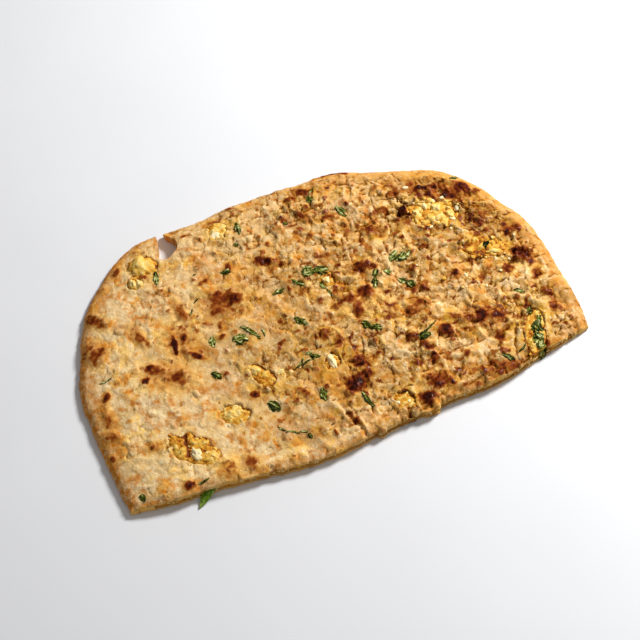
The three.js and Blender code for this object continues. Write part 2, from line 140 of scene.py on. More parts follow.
def moved_in(points, by):
    """The points, each moved that far towards MIDDLE."""
    away = points - MIDDLE
    share = by / np.hypot(away[..., 0], away[..., 1])
    return MIDDLE + away * (1 - share)[..., None]


def half_round(columns, rows, rim_in, cut_in):
    """Rows of points that fill the outline, with its edge moved in at the rim and at the cut."""
    cut = stretch(CUT_LEFT, CUT_RIGHT, columns)
    crown = stretch(SHOULDERS[1], SHOULDERS[0], columns)
    left = stretch(CUT_LEFT, SHOULDERS[1], rows)
    right = stretch(CUT_RIGHT - 360, SHOULDERS[0], rows)
    cut = moved_in(cut, cut_in + swells(cut[:, 0], 0 * cut[:, 0], CUT_RAGGED))
    crown, left, right = (
        moved_in(side, rim_in + swells(side[:, 0], side[:, 1], RIM_RAGGED)) for side in (crown, left, right)
    )
    for side, corner in ((left, cut[0]), (right, cut[-1])):
        side += np.exp(-np.arange(rows + 1) / CORNER_ROWS)[:, None] * (corner - side[0])
    u = np.linspace(0, 1, columns + 1)[None, :, None]
    v = np.linspace(0, 1, rows + 1)[:, None, None]
    corners = (1 - v) * ((1 - u) * cut[0] + u * cut[-1])
    corners = corners + v * ((1 - u) * crown[0] + u * crown[-1])
    return (1 - v) * cut + v * crown + (1 - u) * left[:, None] + u * right[:, None] - corners


# Dough: the relief of its skin
# The upper skin has baked into fine grains, finer and flatter on the left, with blisters where it
# touched the griddle, creases between the lumps of the filling and torn lips round its splits.

COLUMNS = 396
ROWS = 200
RIM_WIDTH = 10.0  # sealed dough with no filling in it
RIM_LOWEST = 2.6
POCKET_TOP = 4.25
POCKET_MARGIN = 2.0  # how far outside the pocket the skin still clears its top
SKIN_THINNEST = 0.4
TOP_EDGE_IN = 1.8
CUT_EDGE_IN = 0.6
CUT_DROOP = 1.3  # how far the knife has pressed the skin down along the cut
CEILING_DROOP = 0.8 * CUT_DROOP
DROOP_WIDTH = 4.0
# The side from the top edge down: how far in, and how high as a part of the thickness.
SIDE = [(1.1, 0.80), (0.45, 0.66), (0.1, 0.50), (0.0, 0.32), (0.35, 0.14), (1.1, 0.0)]
SIDE_ROUGH = 0.18
SIDE_AT_CUT = 0.4  # how far in the side goes at the cut, as a part of that at the rim
LEAF_BED = 1.3  # how far round each leaf the solid's skin is dented
LOOK_FROM = 20.0  # height from which rays look down on the bread
THROUGH = 3.0  # a ray that comes lower than this has gone through a split
CLOSING_ROUNDS = 480  # of evening, to close the splits and the beds
EVENING_ROUNDS = 14  # to take the solid's facets off
CUT_POINTS = 600  # of the lines that distances from the cut and the rim are measured to
RIM_POINTS = 1200

# Splits in the skin over the filling: middle, half length, half width and turn.
TEARS = [
    (73, 63, 12, 7.4, -25), (85, 36, 9.6, 5.4, -28), (83, -17, 4.4, 13.5, -25),
    (-23, 96.4, 4, 4.8, -25), (-61, 92, 6.2, 4.9, -25), (-68.5, 85, 3.2, 3.6, -25),
    (-78, -6, 11.5, 6.4, -45), (-54.7, 2, 6.4, 4.6, -25), (-36, 15, 7.6, 3.8, -68),
    (-5, 8.5, 3.2, 4.8, -40), (15, -22, 4.2, 4, -25), (11.6, 50, 3.6, 3.8, -25),
]
TEAR_RAGGED = 0.22
TEAR_SEED = 60
LIP = 1.6  # width of the thinned skin round a split
LIP_HEIGHT = 0.25
LIP_THINNED = 0.3

# Creases: ends, width and depth.
CREASES = [
    ((93, 50), (102, 41), 2.2, 0.9), ((79, 31.5), (74, 13), 1.6, 0.8), ((74, 13), (76.6, 5), 1.4, 0.7),
    ((89, 24.4), (96, 21), 1.5, 0.8), ((36, 19.6), (33, 12), 0.9, 0.8),
    ((92, 59), (98.8, 48.6), 2.6, 0.9), ((80, 74), (92.4, 59.4), 2.4, 0.6),
    ((-36, -6), (-31, -26), 3, 0.4), ((24.6, 83), (32, 73), 0.8, 0.4), ((-22, 9), (-32, 24), 1.2, 0.3),
    ((42, 60), (62, 62), 2, 0.5),
]
# The short split near the cut: the line that it follows, its width and depth, and its raised lips.
SPLIT = [
    (-11.4, -14.2), (-10.7, -19), (-9.7, -23.8), (-8.1, -27.3), (-7.7, -31.4),
]
SPLIT_WIDTH = 0.6
SPLIT_DEPTH = 0.65
SPLIT_LIP = (1.7, 0.9, 0.35)  # how far out, how wide and how high

# Browned spots: middle, half length, half width, turn and how dark, from 0.4 for a tan patch to
# 1 and over for a charred blister.
BAKED = [
    (-36, 61, 5, 3, -25, 0.86), (-31, 57, 3.6, 3, -25, 0.95), (-40.5, 55.5, 4, 3.4, 10, 0.74),
    (-37, 51.5, 2.4, 2, 0, 0.5), (-36.5, 58, 8.6, 7, 0, 0.74), (72, -0.5, 4.2, 2.6, -25, 1),
    (66, 2, 4, 3.6, -25, 1), (60, 3.5, 3.6, 2.2, -25, 0.76), (55, 7, 3.4, 1.8, -25, 0.74),
    (67, 1, 10, 6, -25, 0.62), (24.5, 36, 4.2, 3.4, -10, 0.88), (15.2, 35.3, 4.2, 2.8, -25, 0.8),
    (17, 28.5, 2.6, 4.6, -10, 0.88), (20, 32, 8, 6.5, 0, 0.45), (27.8, 49, 5, 3.4, -5, 0.86),
    (33.5, 47, 1.7, 1.4, 0, 0.8), (-65.2, 45, 1.5, 5, -12, 1.3), (-60, 47.5, 1.6, 2.4, 0, 0.9),
    (-62, 40.5, 1.6, 2.4, 0, 0.66), (-58.5, 36.5, 5.2, 1.3, -50, 1), (-62, 47, 7, 9, 0, 0.52),
    (-60, 52, 5, 3.2, 0, 0.6), (-78, 37, 5.2, 2.6, -35, 0.9), (-70, 29.5, 5.2, 3.8, -20, 0.76),
    (-74, 32, 10, 6, -30, 0.5), (98.5, 25.5, 5, 4.4, 0, 0.86), (89.5, 20.5, 3.2, 2.6, 60, 0.95),
    (-99.5, 61, 3.6, 2.8, 40, 0.64), (-97.5, 56, 4.4, 3.2, 20, 0.85), (-99.5, 53, 3, 2.6, 0, 0.66),
    (-102, 60, 3, 3.4, 0, 0.6), (-102, 33.5, 2.4, 1.5, 60, 0.98), (-105, 28, 2, 2.6, 0, 0.6),
    (-105, 22, 2.4, 3.2, 0, 0.75), (-107, 14.5, 3.2, 2.4, -40, 0.75), (-110.5, 4.5, 1.6, 1.8, 0, 0.74),
    (-92, 73, 5.6, 2.8, -60, 0.82), (-78, 56.5, 5.4, 2.2, -84, 0.66), (-76, 51.5, 1.6, 1.8, 0, 0.75),
    (-56, 60.5, 6, 1.8, -86, 0.75), (-83.5, 33.3, 2, 1.7, 0, 1.15), (-86, -22, 2.2, 2, 0, 0.98),
    (-104.2, -25, 3.4, 1, -25, 0.8), (-92, 1.5, 3.2, 2, 0, 0.55), (-74, 94.5, 2.6, 1.8, 50, 0.75),
    (-83, 88, 2.2, 1.8, 0, 0.6), (-62, 101.5, 2, 1.8, 0, 0.6), (-65, 88, 4.8, 1.6, -60, 0.85),
    (-11, 71, 4.8, 2.6, -30, 0.95), (-4.5, 67.5, 4.6, 1.6, -35, 0.8), (-58.2, -22.8, 3.4, 3, -60, 0.8),
    (-67.2, -21.5, 4.2, 4.2, 0, 0.6), (22, 100.5, 5.2, 3, -40, 0.84), (14.2, 99, 1.8, 1.5, 0, 0.8),
    (39, 106.5, 6.5, 1.6, -10, 0.85), (45, 104.5, 3.2, 1.4, -20, 0.75), (26.5, 82, 5.4, 1.4, -6, 0.8),
    (16.5, 87, 4.8, 1.8, -50, 0.65), (19.8, 91, 1.6, 1.4, 0, 0.6), (42, 66, 5.2, 3.2, -35, 0.72),
    (31.6, 73.2, 4.6, 1.3, 75, 0.65), (52.5, 74.2, 2.2, 1.9, -40, 0.8), (53, 52, 6.5, 1, 89, 0.5),
    (-40, 72, 3.8, 1.4, 11, 0.8), (-27, 74.6, 2.8, 1.5, 66, 0.85), (-23, 100.5, 3.4, 2.8, -60, 0.8),
    (-5, 79.5, 1.2, 1, 0, 0.7), (-9, 76.5, 1.1, 0.9, 0, 0.5), (15.2, 89.5, 1.1, 0.9, 0, 0.7),
    (27, 89, 1.2, 1, 0, 0.7), (23, 66.6, 1.4, 1, 0, 0.62), (15, 75.5, 1.9, 1.1, 76, 0.8),
    (104.6, 40, 2.8, 2.2, -80, 0.82), (98.8, 38.1, 2.3, 1.7, 0, 0.76), (100, 13, 3.2, 2, 48, 0.82),
    (98.8, 1, 3.6, 1.6, -47, 0.8), (98, -6.5, 3, 2.4, 45, 0.8), (66, 28.5, 2, 1.7, 75, 0.95),
    (83.2, 71.5, 3.4, 2.8, 0, 0.96), (91.5, 71.5, 4.2, 4, -50, 1.02), (74.5, 79.5, 2.8, 1.8, -25, 1.15),
    (80, 78, 2.8, 2, -25, 0.98), (97.3, 66.8, 2.4, 2, 0, 0.86), (86, 72, 14, 5.5, -50, 0.6),
    (94, 54, 9, 4.2, -60, 0.42), (47.8, 2, 4, 3, -70, 1.05), (58.5, 4, 2.2, 1.6, 0, 0.6),
    (44.2, 20.5, 4.2, 2.5, -40, 0.68), (38.8, 17, 4.6, 2.4, -20, 0.68), (36.1, -1.5, 3.4, 2, -60, 0.95),
    (33, 5, 3, 2.2, -40, 0.82), (32.3, -20, 5.2, 4.4, 10, 0.88), (24.6, -25.5, 4, 3.4, 0, 1.05),
    (-1, -6, 6, 4.4, 50, 0.97), (6.3, 3, 4.6, 3.6, -68, 0.9), (2, 16.3, 3.8, 2.4, 44, 0.68),
    (-2.3, 23.4, 4.6, 2, -14, 0.68), (68, -11, 2.2, 3.2, 0, 0.86), (92.5, -24.5, 3, 1, -14, 0.6),
    (85, -23, 2.4, 2, 0, 0.86), (10.9, 34.8, 1.9, 1.5, 0, 0.8), (-43, 7, 2.2, 1.8, 0, 0.95),
    (-22.8, -1.4, 3.6, 1.6, -55, 0.72), (14.5, -33, 1.6, 1, 0, 0.5), (0.8, 48.3, 4.6, 2, 88, 0.5),
    (-44, 41, 2.4, 1.4, 0, 0.9), (50.3, -12.9, 1.9, 1.5, 0, 0.82), (28.8, -8.3, 2.4, 1.6, -18, 0.95),
]
CHARRED = 0.78  # from this darkness on a spot is rough
CHARRED_ROUGH = 0.2
BLISTER_HALF = 5.0  # spots narrower than this have risen as blisters
BLISTER_HEIGHT = 0.5
BLISTER_REACH = 1.25

# Where lumps of the filling stand right under the skin: middle, half length, half width, turn and
# how strongly. The rest of the skin goes from the first to the second of LUMPY, left to right.
CRUMBLY = [
    (82, 60, 20, 14, -50, 1), (90, 36, 16, 13, -20, 0.8), (66, 68, 12, 8, -30, 0.9),
    (80, -5, 22, 20, -20, 0.5), (20, 8, 24, 16, -20, 0.6), (-30, 14, 20, 14, -40, 0.5),
    (-84, 0, 6, 6, -35, 0.5), (-62, 80, 16, 14, -30, 0.25), (0, 55, 24, 12, -20, 0.35),
    (10, -25, 24, 8, -15, 0.6), (-24, 92, 14, 8, -20, 0.25), (45, 40, 22, 18, -20, 0.4),
]
LUMPY = (0.06, 0.32)
CLUSTERS = [(1.0, 9.5, 93), (0.5, 4.0, 94)]  # lumps and grains lie in clusters
CLUSTERED = 1.3
BETWEEN_CLUSTERS = 0.16

# The skin's lumps, large grains and small grains: how far apart, the seed, how high where the skin
# is smooth, how much higher where it is lumpy, what all of a kind share of that height, and how
# far their middle height is let down.
GRAINS = [
    (4.4, 33, 0.0, 1.8, 0.4, 0.6), (2.6, 40, 0.06, 0.8, 0.35, 0.55), (1.6, 34, 0.03, 0.28, 0.3, 0.5),
]
GRAIN_TABLE = 128  # grains each way before they repeat
GRAIN_SHIFT = 0.42  # how far off even rows their middles lie, as a part of the rows' step
GRAIN_FOOT = 0.78
GRAIN_DOMED = 0.45
SEAM_WIDTH = 0.45
PLATE_SIZE = 8.5  # of the patches into which the skin has cracked
PLATE_STEP = 0.7
CRACK_WIDTH = 0.05
CRACK_DEPTH = 0.55
TOASTED_SIZE = 5.2
TOASTED_HEIGHT = 0.5
SWELLS_HEIGHT = [(0.6, 7.5, 35), (0.4, 4.0, 36)]
FOLD_HEIGHT = 0.9
WRINKLE_DEPTH = 0.7
# The roll of sealed dough at the right rim and the groove inside it: where, width and height.
RIM_ROLL = (5.5, 3, 0.5)
RIM_GROOVE = (13, 4, 0.7)
EDGE_FALL = 0.5
EDGE_FALL_WIDTH = 2.2


def ramp(value, low, high):
    """0 up to low, 1 from high on and smooth between them; high may be the lower of the two."""
    return smooth((value - low) / (high - low))


def bell(distance, width):
    return np.exp(-((distance / width) ** 2))


def turned(x, y, turn):
    """x and y turned about the origin."""
    turn = np.radians(turn)
    return x * np.cos(turn) - y * np.sin(turn), x * np.sin(turn) + y * np.cos(turn)


def bent(x, y, across, along):
    """x and y shifted about by layers of noise, so that what is laid out on them has no rows."""
    return x + swells(x, y, across), y + swells(x, y, along)


def grains(x, y, size, seed):
    """Grains `size` apart: height from 0 between them to 1, each one's own number, and how far
    a point is from the seam between two of them."""
    shift = dice_table(seed, -GRAIN_SHIFT, GRAIN_SHIFT, GRAIN_TABLE, GRAIN_TABLE, 2)
    own = dice_table(seed + 1000, 0, 1, GRAIN_TABLE, GRAIN_TABLE)
    u, v = x / size, y / size
    i, j = np.floor(u).astype(int), np.floor(v).astype(int)
    near = np.full(u.shape, np.inf)
    second = np.full(u.shape, np.inf)
    number = np.zeros(u.shape)
    for a in (-1, 0, 1):
        for b in (-1, 0, 1):
            k, m = (i + a) % GRAIN_TABLE, (j + b) % GRAIN_TABLE
            gap = np.hypot(i + a + 0.5 + shift[k, m, 0] - u, j + b + 0.5 + shift[k, m, 1] - v)
            number = np.where(gap < near, own[k, m], number)
            second = np.minimum(second, np.maximum(gap, near))
            near = np.minimum(gap, near)
    dome = 1 - np.clip(near / GRAIN_FOOT, 0, 1) ** 2
    seam = second - near
    edge = np.sqrt(np.clip(seam / SEAM_WIDTH, 0, 1))
    return GRAIN_DOMED * dome + (1 - GRAIN_DOMED) * edge, number, seam


def reach(x, y, spot):
    """How far x, y is from the middle of an oval spot: 1 on its edge."""
    along, across = turned(x - spot[0], y - spot[1], -spot[4])
    return np.hypot(along / spot[2], across / spot[3])


def line_reach(x, y, start, end):
    """Distance from the straight line between two ends."""
    dx, dy = end[0] - start[0], end[1] - start[1]
    t = np.clip(((x - start[0]) * dx + (y - start[1]) * dy) / (dx * dx + dy * dy), 0, 1)
    return np.hypot(x - start[0] - t * dx, y - start[1] - t * dy)


def torn_swell(index, turn):
    """How far out a split is torn at a turn in radians round its middle, as a part of its oval."""
    return 1 + TEAR_RAGGED * noise(2 * np.cos(turn), 2 * np.sin(turn), 1, TEAR_SEED + index)


def tear_gap(x, y):
    """Distance from the nearest split; less than 0 inside one."""
    gap = np.full(x.shape, np.inf)
    for index, tear in enumerate(TEARS):
        ragged = torn_swell(index, np.arctan2(y - tear[1], x - tear[0]))
        gap = np.minimum(gap, (reach(x, y, tear) / ragged - 1) * min(tear[2], tear[3]))
    return gap


def tree_of(points):
    tree = KDTree(len(points))
    for i, (x, y) in enumerate(points):
        tree.insert((x, y, 0), i)
    tree.balance()
    return tree


cut_tree = tree_of(stretch(CUT_LEFT, CUT_RIGHT, CUT_POINTS))
rim_tree = tree_of(stretch(CUT_RIGHT - 360, CUT_LEFT, RIM_POINTS))


def from_edge(x, y, tree):
    gaps = [tree.find((a, b, 0))[2] for a, b in zip(x.ravel(), y.ravel())]
    return np.array(gaps).reshape(x.shape)


def evened(level):
    """The mean of each point's four neighbours."""
    wide = np.pad(level, 1, mode="edge")
    return (wide[:-2, 1:-1] + wide[2:, 1:-1] + wide[1:-1, :-2] + wide[1:-1, 2:]) / 4


leaf_nodes = sorted(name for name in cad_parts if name.startswith("coriander"))
leaf_solids = surface_of(*[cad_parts[name].data for name in leaf_nodes])


def solid_level(points):
    """Height of the solid under each point, with its splits and the beds of its leaves closed."""
    level = np.full(points.shape[:2], np.nan)
    for row, line in enumerate(points * MM):
        for column, (x, y) in enumerate(line):
            hit = dough_solid.ray_cast(Vector((x, y, LOOK_FROM * MM)), Vector((0, 0, -1)))[0]
            if hit and hit.z > THROUGH * MM and leaf_solids.find_nearest(hit, LEAF_BED * MM)[0] is None:
                level[row, column] = hit.z / MM
    missing = np.isnan(level)
    level[missing] = np.nanmean(level)
    for _ in range(CLOSING_ROUNDS):
        level = np.where(missing, evened(level), level)
    for _ in range(EVENING_ROUNDS):
        level = (level + evened(level)) / 2
    return level


def spread_of(x, y, places, seed):
    """How much of what a list of places names a point has, with ragged edges."""
    much = np.zeros(x.shape)
    ragged = swells(x, y, [(0.35, 3.4, seed), (0.25, 1.5, seed + 1)])
    for place in places:
        much = np.maximum(much, place[5] * smooth(1.35 - reach(x, y, place) + ragged))
    return much


def crumbly(x, y):
    """How lumpy the skin is: 0 where it is smooth, 1 where the filling nearly breaks through."""
    broad = LUMPY[0] + (LUMPY[1] - LUMPY[0]) * ramp(x + 0.3 * y, -40, 30)
    broad = np.maximum(broad, spread_of(x, y, CRUMBLY, 61))
    return broad * (BETWEEN_CLUSTERS + CLUSTERED * smooth(0.5 + swells(x, y, CLUSTERS)))


def skin_grains(x, y):
    """The skin's lumps, its large and its small grains: for each its height and its own number."""
    place = bent(x, y, [(1.0, 4.3, 31), (0.4, 1.9, 30)], [(1.0, 4.3, 32), (0.4, 1.9, 29)])
    return [grains(*place, kind[0], kind[1])[:2] for kind in GRAINS]


def plates(x, y):
    """Patches into which the skin has cracked: each one's own number and its cracks, 0 to 1."""
    place = bent(x, y, [(3.0, 11, 5), (0.8, 3.0, 6)], [(3.0, 11, 7), (0.8, 3.0, 8)])
    _, own, seam = grains(*place, PLATE_SIZE, 4)
    return own, bell(seam, CRACK_WIDTH) * smooth(1.6 * noise(x, y, 8, 3) + 0.45)


def toasted_bumps(x, y):
    """Small bumps that touched the griddle first: how near a point is to one's top, from 0 to 1."""
    height, own, _ = grains(*bent(x, y, [(0.5, 2.0, 26)], [(0.5, 2.0, 25)]), TOASTED_SIZE, 24)
    return ramp(height + 0.09 * own, 0.95, 1.02) * smooth(3 * (own - 0.56))


def ridges(level, sharp):
    """Narrow ridges where a noise crosses 0."""
    return np.clip(1 - np.abs(level), 0, 1) ** sharp


def fine_relief(x, y):
    """The lumps and grains of the skin away from its edges."""
    rough = crumbly(x, y)
    z = 0
    for (height, own), (_, _, smooth_skin, lumpy_skin, shared, let_down) in zip(skin_grains(x, y), GRAINS):
        z += (smooth_skin + lumpy_skin * rough) * (height * (shared + own) - let_down)
    lively = 0.45 + 0.55 * ramp(x, -50, 10)
    z += lively * swells(x, y, SWELLS_HEIGHT) + TOASTED_HEIGHT * toasted_bumps(x, y)
    z += FOLD_HEIGHT * lively * (ridges(noise(x + 2 * noise(x, y, 9, 10), y, 13, 9), 5) - 0.2)
    plate, crack = plates(x, y)
    z += lively * (PLATE_STEP * (plate - 0.5) - CRACK_DEPTH * crack)
    wrinkled = smooth(noise(x, y, 21, 22) + 0.3) * ramp(x, -40, 0)
    return z - WRINKLE_DEPTH * ridges(noise(x, y, 9.0, 37), 14) * wrinkled


def skin_relief(x, y, rim, cut):
    """The relief on the solid's surface. rim and cut are distances from the edges."""
    z = fine_relief(x, y) * (0.25 + 0.75 * ramp(rim, 4, 10))
    for start, end, wide, deep in CREASES:
        z -= deep * bell(line_reach(x, y, start, end), wide)
    for spot in BAKED:
        r = reach(x, y, spot)
        if min(spot[2], spot[3]) < BLISTER_HALF:
            z += BLISTER_HEIGHT * bell((r / BLISTER_REACH) ** 2, 1)
        if spot[5] >= CHARRED:
            z += CHARRED_ROUGH * noise(x, y, 1.5, 38) * smooth(1.4 - r)
    out, wide, high = SPLIT_LIP
    for a, b in zip(SPLIT, SPLIT[1:]):
        away = line_reach(x, y, a, b)
        z += high * bell(away - out, wide) - SPLIT_DEPTH * bell(away, SPLIT_WIDTH)
    lip = np.clip(1 - tear_gap(x, y) / LIP, 0, 1)
    z += LIP_HEIGHT * np.sin(np.pi * lip) - LIP_THINNED * lip**2
    z -= CUT_DROOP * ramp(cut, DROOP_WIDTH, 0)
    z -= EDGE_FALL * np.clip(1 - (rim - TOP_EDGE_IN) / EDGE_FALL_WIDTH, 0, 1) ** 2
    (roll_at, roll_wide, roll_high), (groove_at, groove_wide, groove_deep) = RIM_ROLL, RIM_GROOVE
    roll = roll_high * bell(rim - roll_at, roll_wide)
    return z + ramp(x, 40, 65) * (roll - groove_deep * bell(rim - groove_at, groove_wide))


def ceiling(cut):
    """The pocket's upper side, which comes down with the skin along the cut."""
    return POCKET_TOP - CEILING_DROOP * ramp(cut, DROOP_WIDTH, 0)


def mesh_of(bm, name):
    mesh = bpy.data.meshes.new(name)
    bm.to_mesh(mesh)
    bm.free()
    return mesh


def closed_sheet(name, columns, rows, rings):
    """A grid with rings turned down from its edge and a face under them, and the column, row
    and ring of each of its points."""
    bm = bmesh.new()
    bmesh.ops.create_grid(bm, x_segments=columns, y_segments=rows, size=0.5)
    edge = [e for e in bm.edges if e.is_boundary]
    for _ in range(rings):
        made = bmesh.ops.extrude_edge_only(bm, edges=edge)["geom"]
        turned_down = [v for v in made if isinstance(v, bmesh.types.BMVert)]
        bmesh.ops.translate(bm, verts=turned_down, vec=(0, 0, -1))
        edge = [e for e in made if isinstance(e, bmesh.types.BMEdge) and e.is_boundary]
    bmesh.ops.edgeloop_fill(bm, edges=edge)
    bmesh.ops.recalc_face_normals(bm, faces=bm.faces)
    mesh = mesh_of(bm, name)
    at = points_of(mesh)
    places = np.stack([(at[:, 0] + 0.5) * columns, (at[:, 1] + 0.5) * rows, -at[:, 2]])
    return mesh, *np.rint(places).astype(int)


def points_of(mesh):
    at = np.empty(3 * len(mesh.vertices), np.float32)
    mesh.vertices.foreach_get("co", at)
    return at.reshape(-1, 3).astype(float)


def set_points(mesh, at):
    mesh.vertices.foreach_set("co", at.astype(np.float32).ravel())
    mesh.update()


def dough_form():
    """The whole closed body of the dough, with no pocket in it."""
    mesh, column, row, ring = closed_sheet("dough", COLUMNS, ROWS, len(SIDE))
    top = half_round(COLUMNS, ROWS, TOP_EDGE_IN, CUT_EDGE_IN)
    x, y = top[..., 0], top[..., 1]
    rim, cut = from_edge(x, y, rim_tree), from_edge(x, y, cut_tree)
    level = solid_level(top) + skin_relief(x, y, rim, cut)
    over_pocket = rim > RIM_WIDTH - POCKET_MARGIN
    level = np.maximum(level, np.where(over_pocket, ceiling(cut) + SKIN_THINNEST, RIM_LOWEST))
    at = np.stack([x[row, column], y[row, column], level[row, column]], 1)
    foot = half_round(COLUMNS, ROWS, 0.0, 0.0)[row, column]
    for number, (back, part) in enumerate(SIDE, 1):
        here = ring == number
        inward = back * np.where(row[here] == 0, SIDE_AT_CUT, 1.0)
        rough_side = SIDE_ROUGH * noise(foot[here].sum(axis=1), 3.0 * number + 0 * inward, 1.8, 39)
        at[here, :2] = moved_in(foot[here], inward + rough_side * (part > 0))
        at[here, 2] *= part
    set_points(mesh, at * MM)
    return mesh


# Dough: the pocket, the splits and the notch
# The skin is torn through wherever the filling shows, the rim once right through, and the
# pocket for the filling opens at the cut.

POCKET_GRID = (80, 40)
SKIN_UNDER = 1.3  # how thick the dough is under the pocket
PAST_CUT = 3.0  # how far the pocket's cutter runs out at the cut
UNDER_FLOOR = -1.0
OVER_SKIN = 9.0
TEAR_FLOOR = 1.25
TEAR_UNDERCUT = 0.5
TEAR_POINTS = 44
ROUNDING = 2  # how often an outline's corners are cut off
# The outline of the hole torn through the rim.
NOTCH = [
    (-49.5, 118), (-49.5, 106), (-51.5, 98), (-53.6, 95), (-53.4, 92.2), (-49.8, 91.2), (-47.2, 92.4),
    (-43.2, 95), (-42, 99.2), (-43.4, 102.2), (-46, 105.4), (-45.6, 118),
]
# The arch at the cut where the underside has come off its rest: middle and half sizes.
ARCH_AT = (-56.8, -30.6)
ARCH_HALF = (4.4, 2.4, 1.0)


def prism(bm, outline, low, high, undercut=0.0):
    """A straight-sided cutter over an outline, wider at its foot by undercut."""
    foot = bmesh.ops.create_circle(bm, cap_ends=True, segments=len(outline), radius=1)["verts"]
    for v, (x, y) in zip(foot, outline):
        v.co = Vector((x, y, low)) * MM
    made = bmesh.ops.extrude_face_region(bm, geom=[foot[0].link_faces[0]])["geom"]
    roof = [v for v in made if isinstance(v, bmesh.types.BMVert)]
    bmesh.ops.translate(bm, verts=roof, vec=(0, 0, (high - low) * MM))
    middle = Vector((*np.mean(outline, axis=0), low)) * MM
    for v in foot:
        v.co += undercut * MM * (v.co - middle).normalized()


def tear_outline(index):
    tear = TEARS[index]
    turn = 2 * np.pi * np.arange(TEAR_POINTS) / TEAR_POINTS
    x, y = turned(tear[2] * np.cos(turn), tear[3] * np.sin(turn), tear[4])
    ragged = torn_swell(index, np.arctan2(y, x))
    return np.column_stack([tear[0] + x * ragged, tear[1] + y * ragged])


def rounded(outline):
    """An outline with its corners cut off again and again."""
    for _ in range(ROUNDING):
        fuller = []
        for (ax, ay), (bx, by) in zip(outline, outline[1:] + outline[:1]):
            fuller.append((0.75 * ax + 0.25 * bx, 0.75 * ay + 0.25 * by))
            fuller.append((0.25 * ax + 0.75 * bx, 0.25 * ay + 0.75 * by))
        outline = fuller
    return outline


def in_the_scene(name, data):
    """A new object of a mesh, a lamp or a camera."""
    thing = bpy.data.objects.new(name, data)
    bpy.context.scene.collection.objects.link(thing)
    return thing


def worked(mesh, kind, **settings):
    """The mesh after one modifier."""
    piece = in_the_scene("being worked", mesh)
    step = piece.modifiers.new("step", kind)
    for name, value in settings.items():
        setattr(step, name, value)
    bpy.context.view_layer.update()
    made = bpy.data.meshes.new_from_object(piece.evaluated_get(bpy.context.evaluated_depsgraph_get()))
    bpy.data.objects.remove(piece)
    return made


def carved(mesh, cutter):
    """The mesh with the cutter taken out of it."""
    tool = in_the_scene("cutter", cutter)
    made = worked(mesh, "BOOLEAN", operation="DIFFERENCE", solver="MANIFOLD", object=tool)
    bpy.data.objects.remove(tool)
    return made


def pocket_sheet(name, grid, inset, cut_in, low, high):
    """A closed sheet that fills the pocket, with the rim's sealed dough left round it."""
    mesh, column, row, ring = closed_sheet(name, *grid, 1)
    at = half_round(*grid, RIM_WIDTH + inset, cut_in)[row, column]
    ends = [MIDDLE[0] + np.interp(turn, degrees, radii) * math.cos(math.radians(turn))
            for turn in (CUT_LEFT, CUT_RIGHT)]
    at[:, 0] = np.clip(at[:, 0], ends[0] + RIM_WIDTH + inset, ends[1] - RIM_WIDTH - inset)
    top = high(at[:, 0], at[:, 1])
    set_points(mesh, np.column_stack([at, np.where(ring == 0, top, low)]) * MM)
    return mesh


def ceiling_at(x, y):
    return ceiling(from_edge(x, y, cut_tree))


def notch_cutter(by):
    """The space of the notch, wider all round by that much."""
    outline = np.array(rounded(NOTCH))
    away = outline - outline.mean(axis=0)
    outline = outline + by * away / np.linalg.norm(away, axis=1, keepdims=True)
    bm = bmesh.new()
    prism(bm, outline, UNDER_FLOOR, OVER_SKIN)
    bmesh.ops.recalc_face_normals(bm, faces=bm.faces)
    return mesh_of(bm, "notch")


def openings():
    """The splits and the arch."""
    bm = bmesh.new()
    for index in range(len(TEARS)):
        prism(bm, tear_outline(index), TEAR_FLOOR, OVER_SKIN, TEAR_UNDERCUT)
    for v in bmesh.ops.create_icosphere(bm, subdivisions=3, radius=1)["verts"]:
        v.co = (Vector((*ARCH_AT, 0)) + v.co * Vector(ARCH_HALF)) * MM
    bmesh.ops.recalc_face_normals(bm, faces=bm.faces)
    return mesh_of(bm, "openings")


pocket = pocket_sheet("pocket", POCKET_GRID, 0.0, -PAST_CUT, SKIN_UNDER, ceiling_at)
dough_mesh = carved(carved(carved(dough_form(), pocket), openings()), notch_cutter(0.0))

# Dough: its colour
# The baked dough runs from cream over tan and gold to red-brown and charred spots. The filling
# shows through yellow where the skin is thin, and floury or translucent places stay grey-white.

# Places where the skin is floury and pale, where the filling shows through it, where herbs do,
# where it is oily and golden, and where it has baked orange: middle, half length, half width,
# turn and strength.
PALE = [
    (-25, 16.5, 5, 3.8, 0, 0.9), (-37.5, -0.5, 6, 4.2, -25, 0.9), (-80, -19, 6, 4.6, -25, 0.8),
    (42, 55.5, 8.5, 4, -25, 0.6), (20.5, 4, 3.6, 2.6, -25, 0.8), (25, 0.5, 4.2, 3, -25, 0.9),
    (21.5, -11, 4, 3, -25, 0.5), (40.5, -17, 4.4, 2.2, -20, 0.9), (97, 15, 4.6, 6, 0, 0.5),
    (4.4, 87.4, 2.4, 1.6, -25, 0.9), (3, 94, 8, 5, -20, 0.5), (94, 45, 9, 4.5, -50, 0.35),
    (10, 23, 5, 4, 0, 0.5), (104.5, 35, 3.6, 2.6, 0, 0.5), (-65, 86, 12, 12, 0, 0.35),
    (-90, 20, 16, 20, 0, 0.35), (-60, -14, 12, 6, -20, 0.3), (-49, 58, 7, 5, 0, 0.3),
    (-72, 65, 5, 4, 0, 0.6), (43, -6, 5, 4, 0, 0.35), (-82, 70, 9, 7, 0, 0.4),
    (98, -19, 3.2, 2.6, 0, 0.8), (13.8, 9.4, 4.4, 3, -25, 1),
]
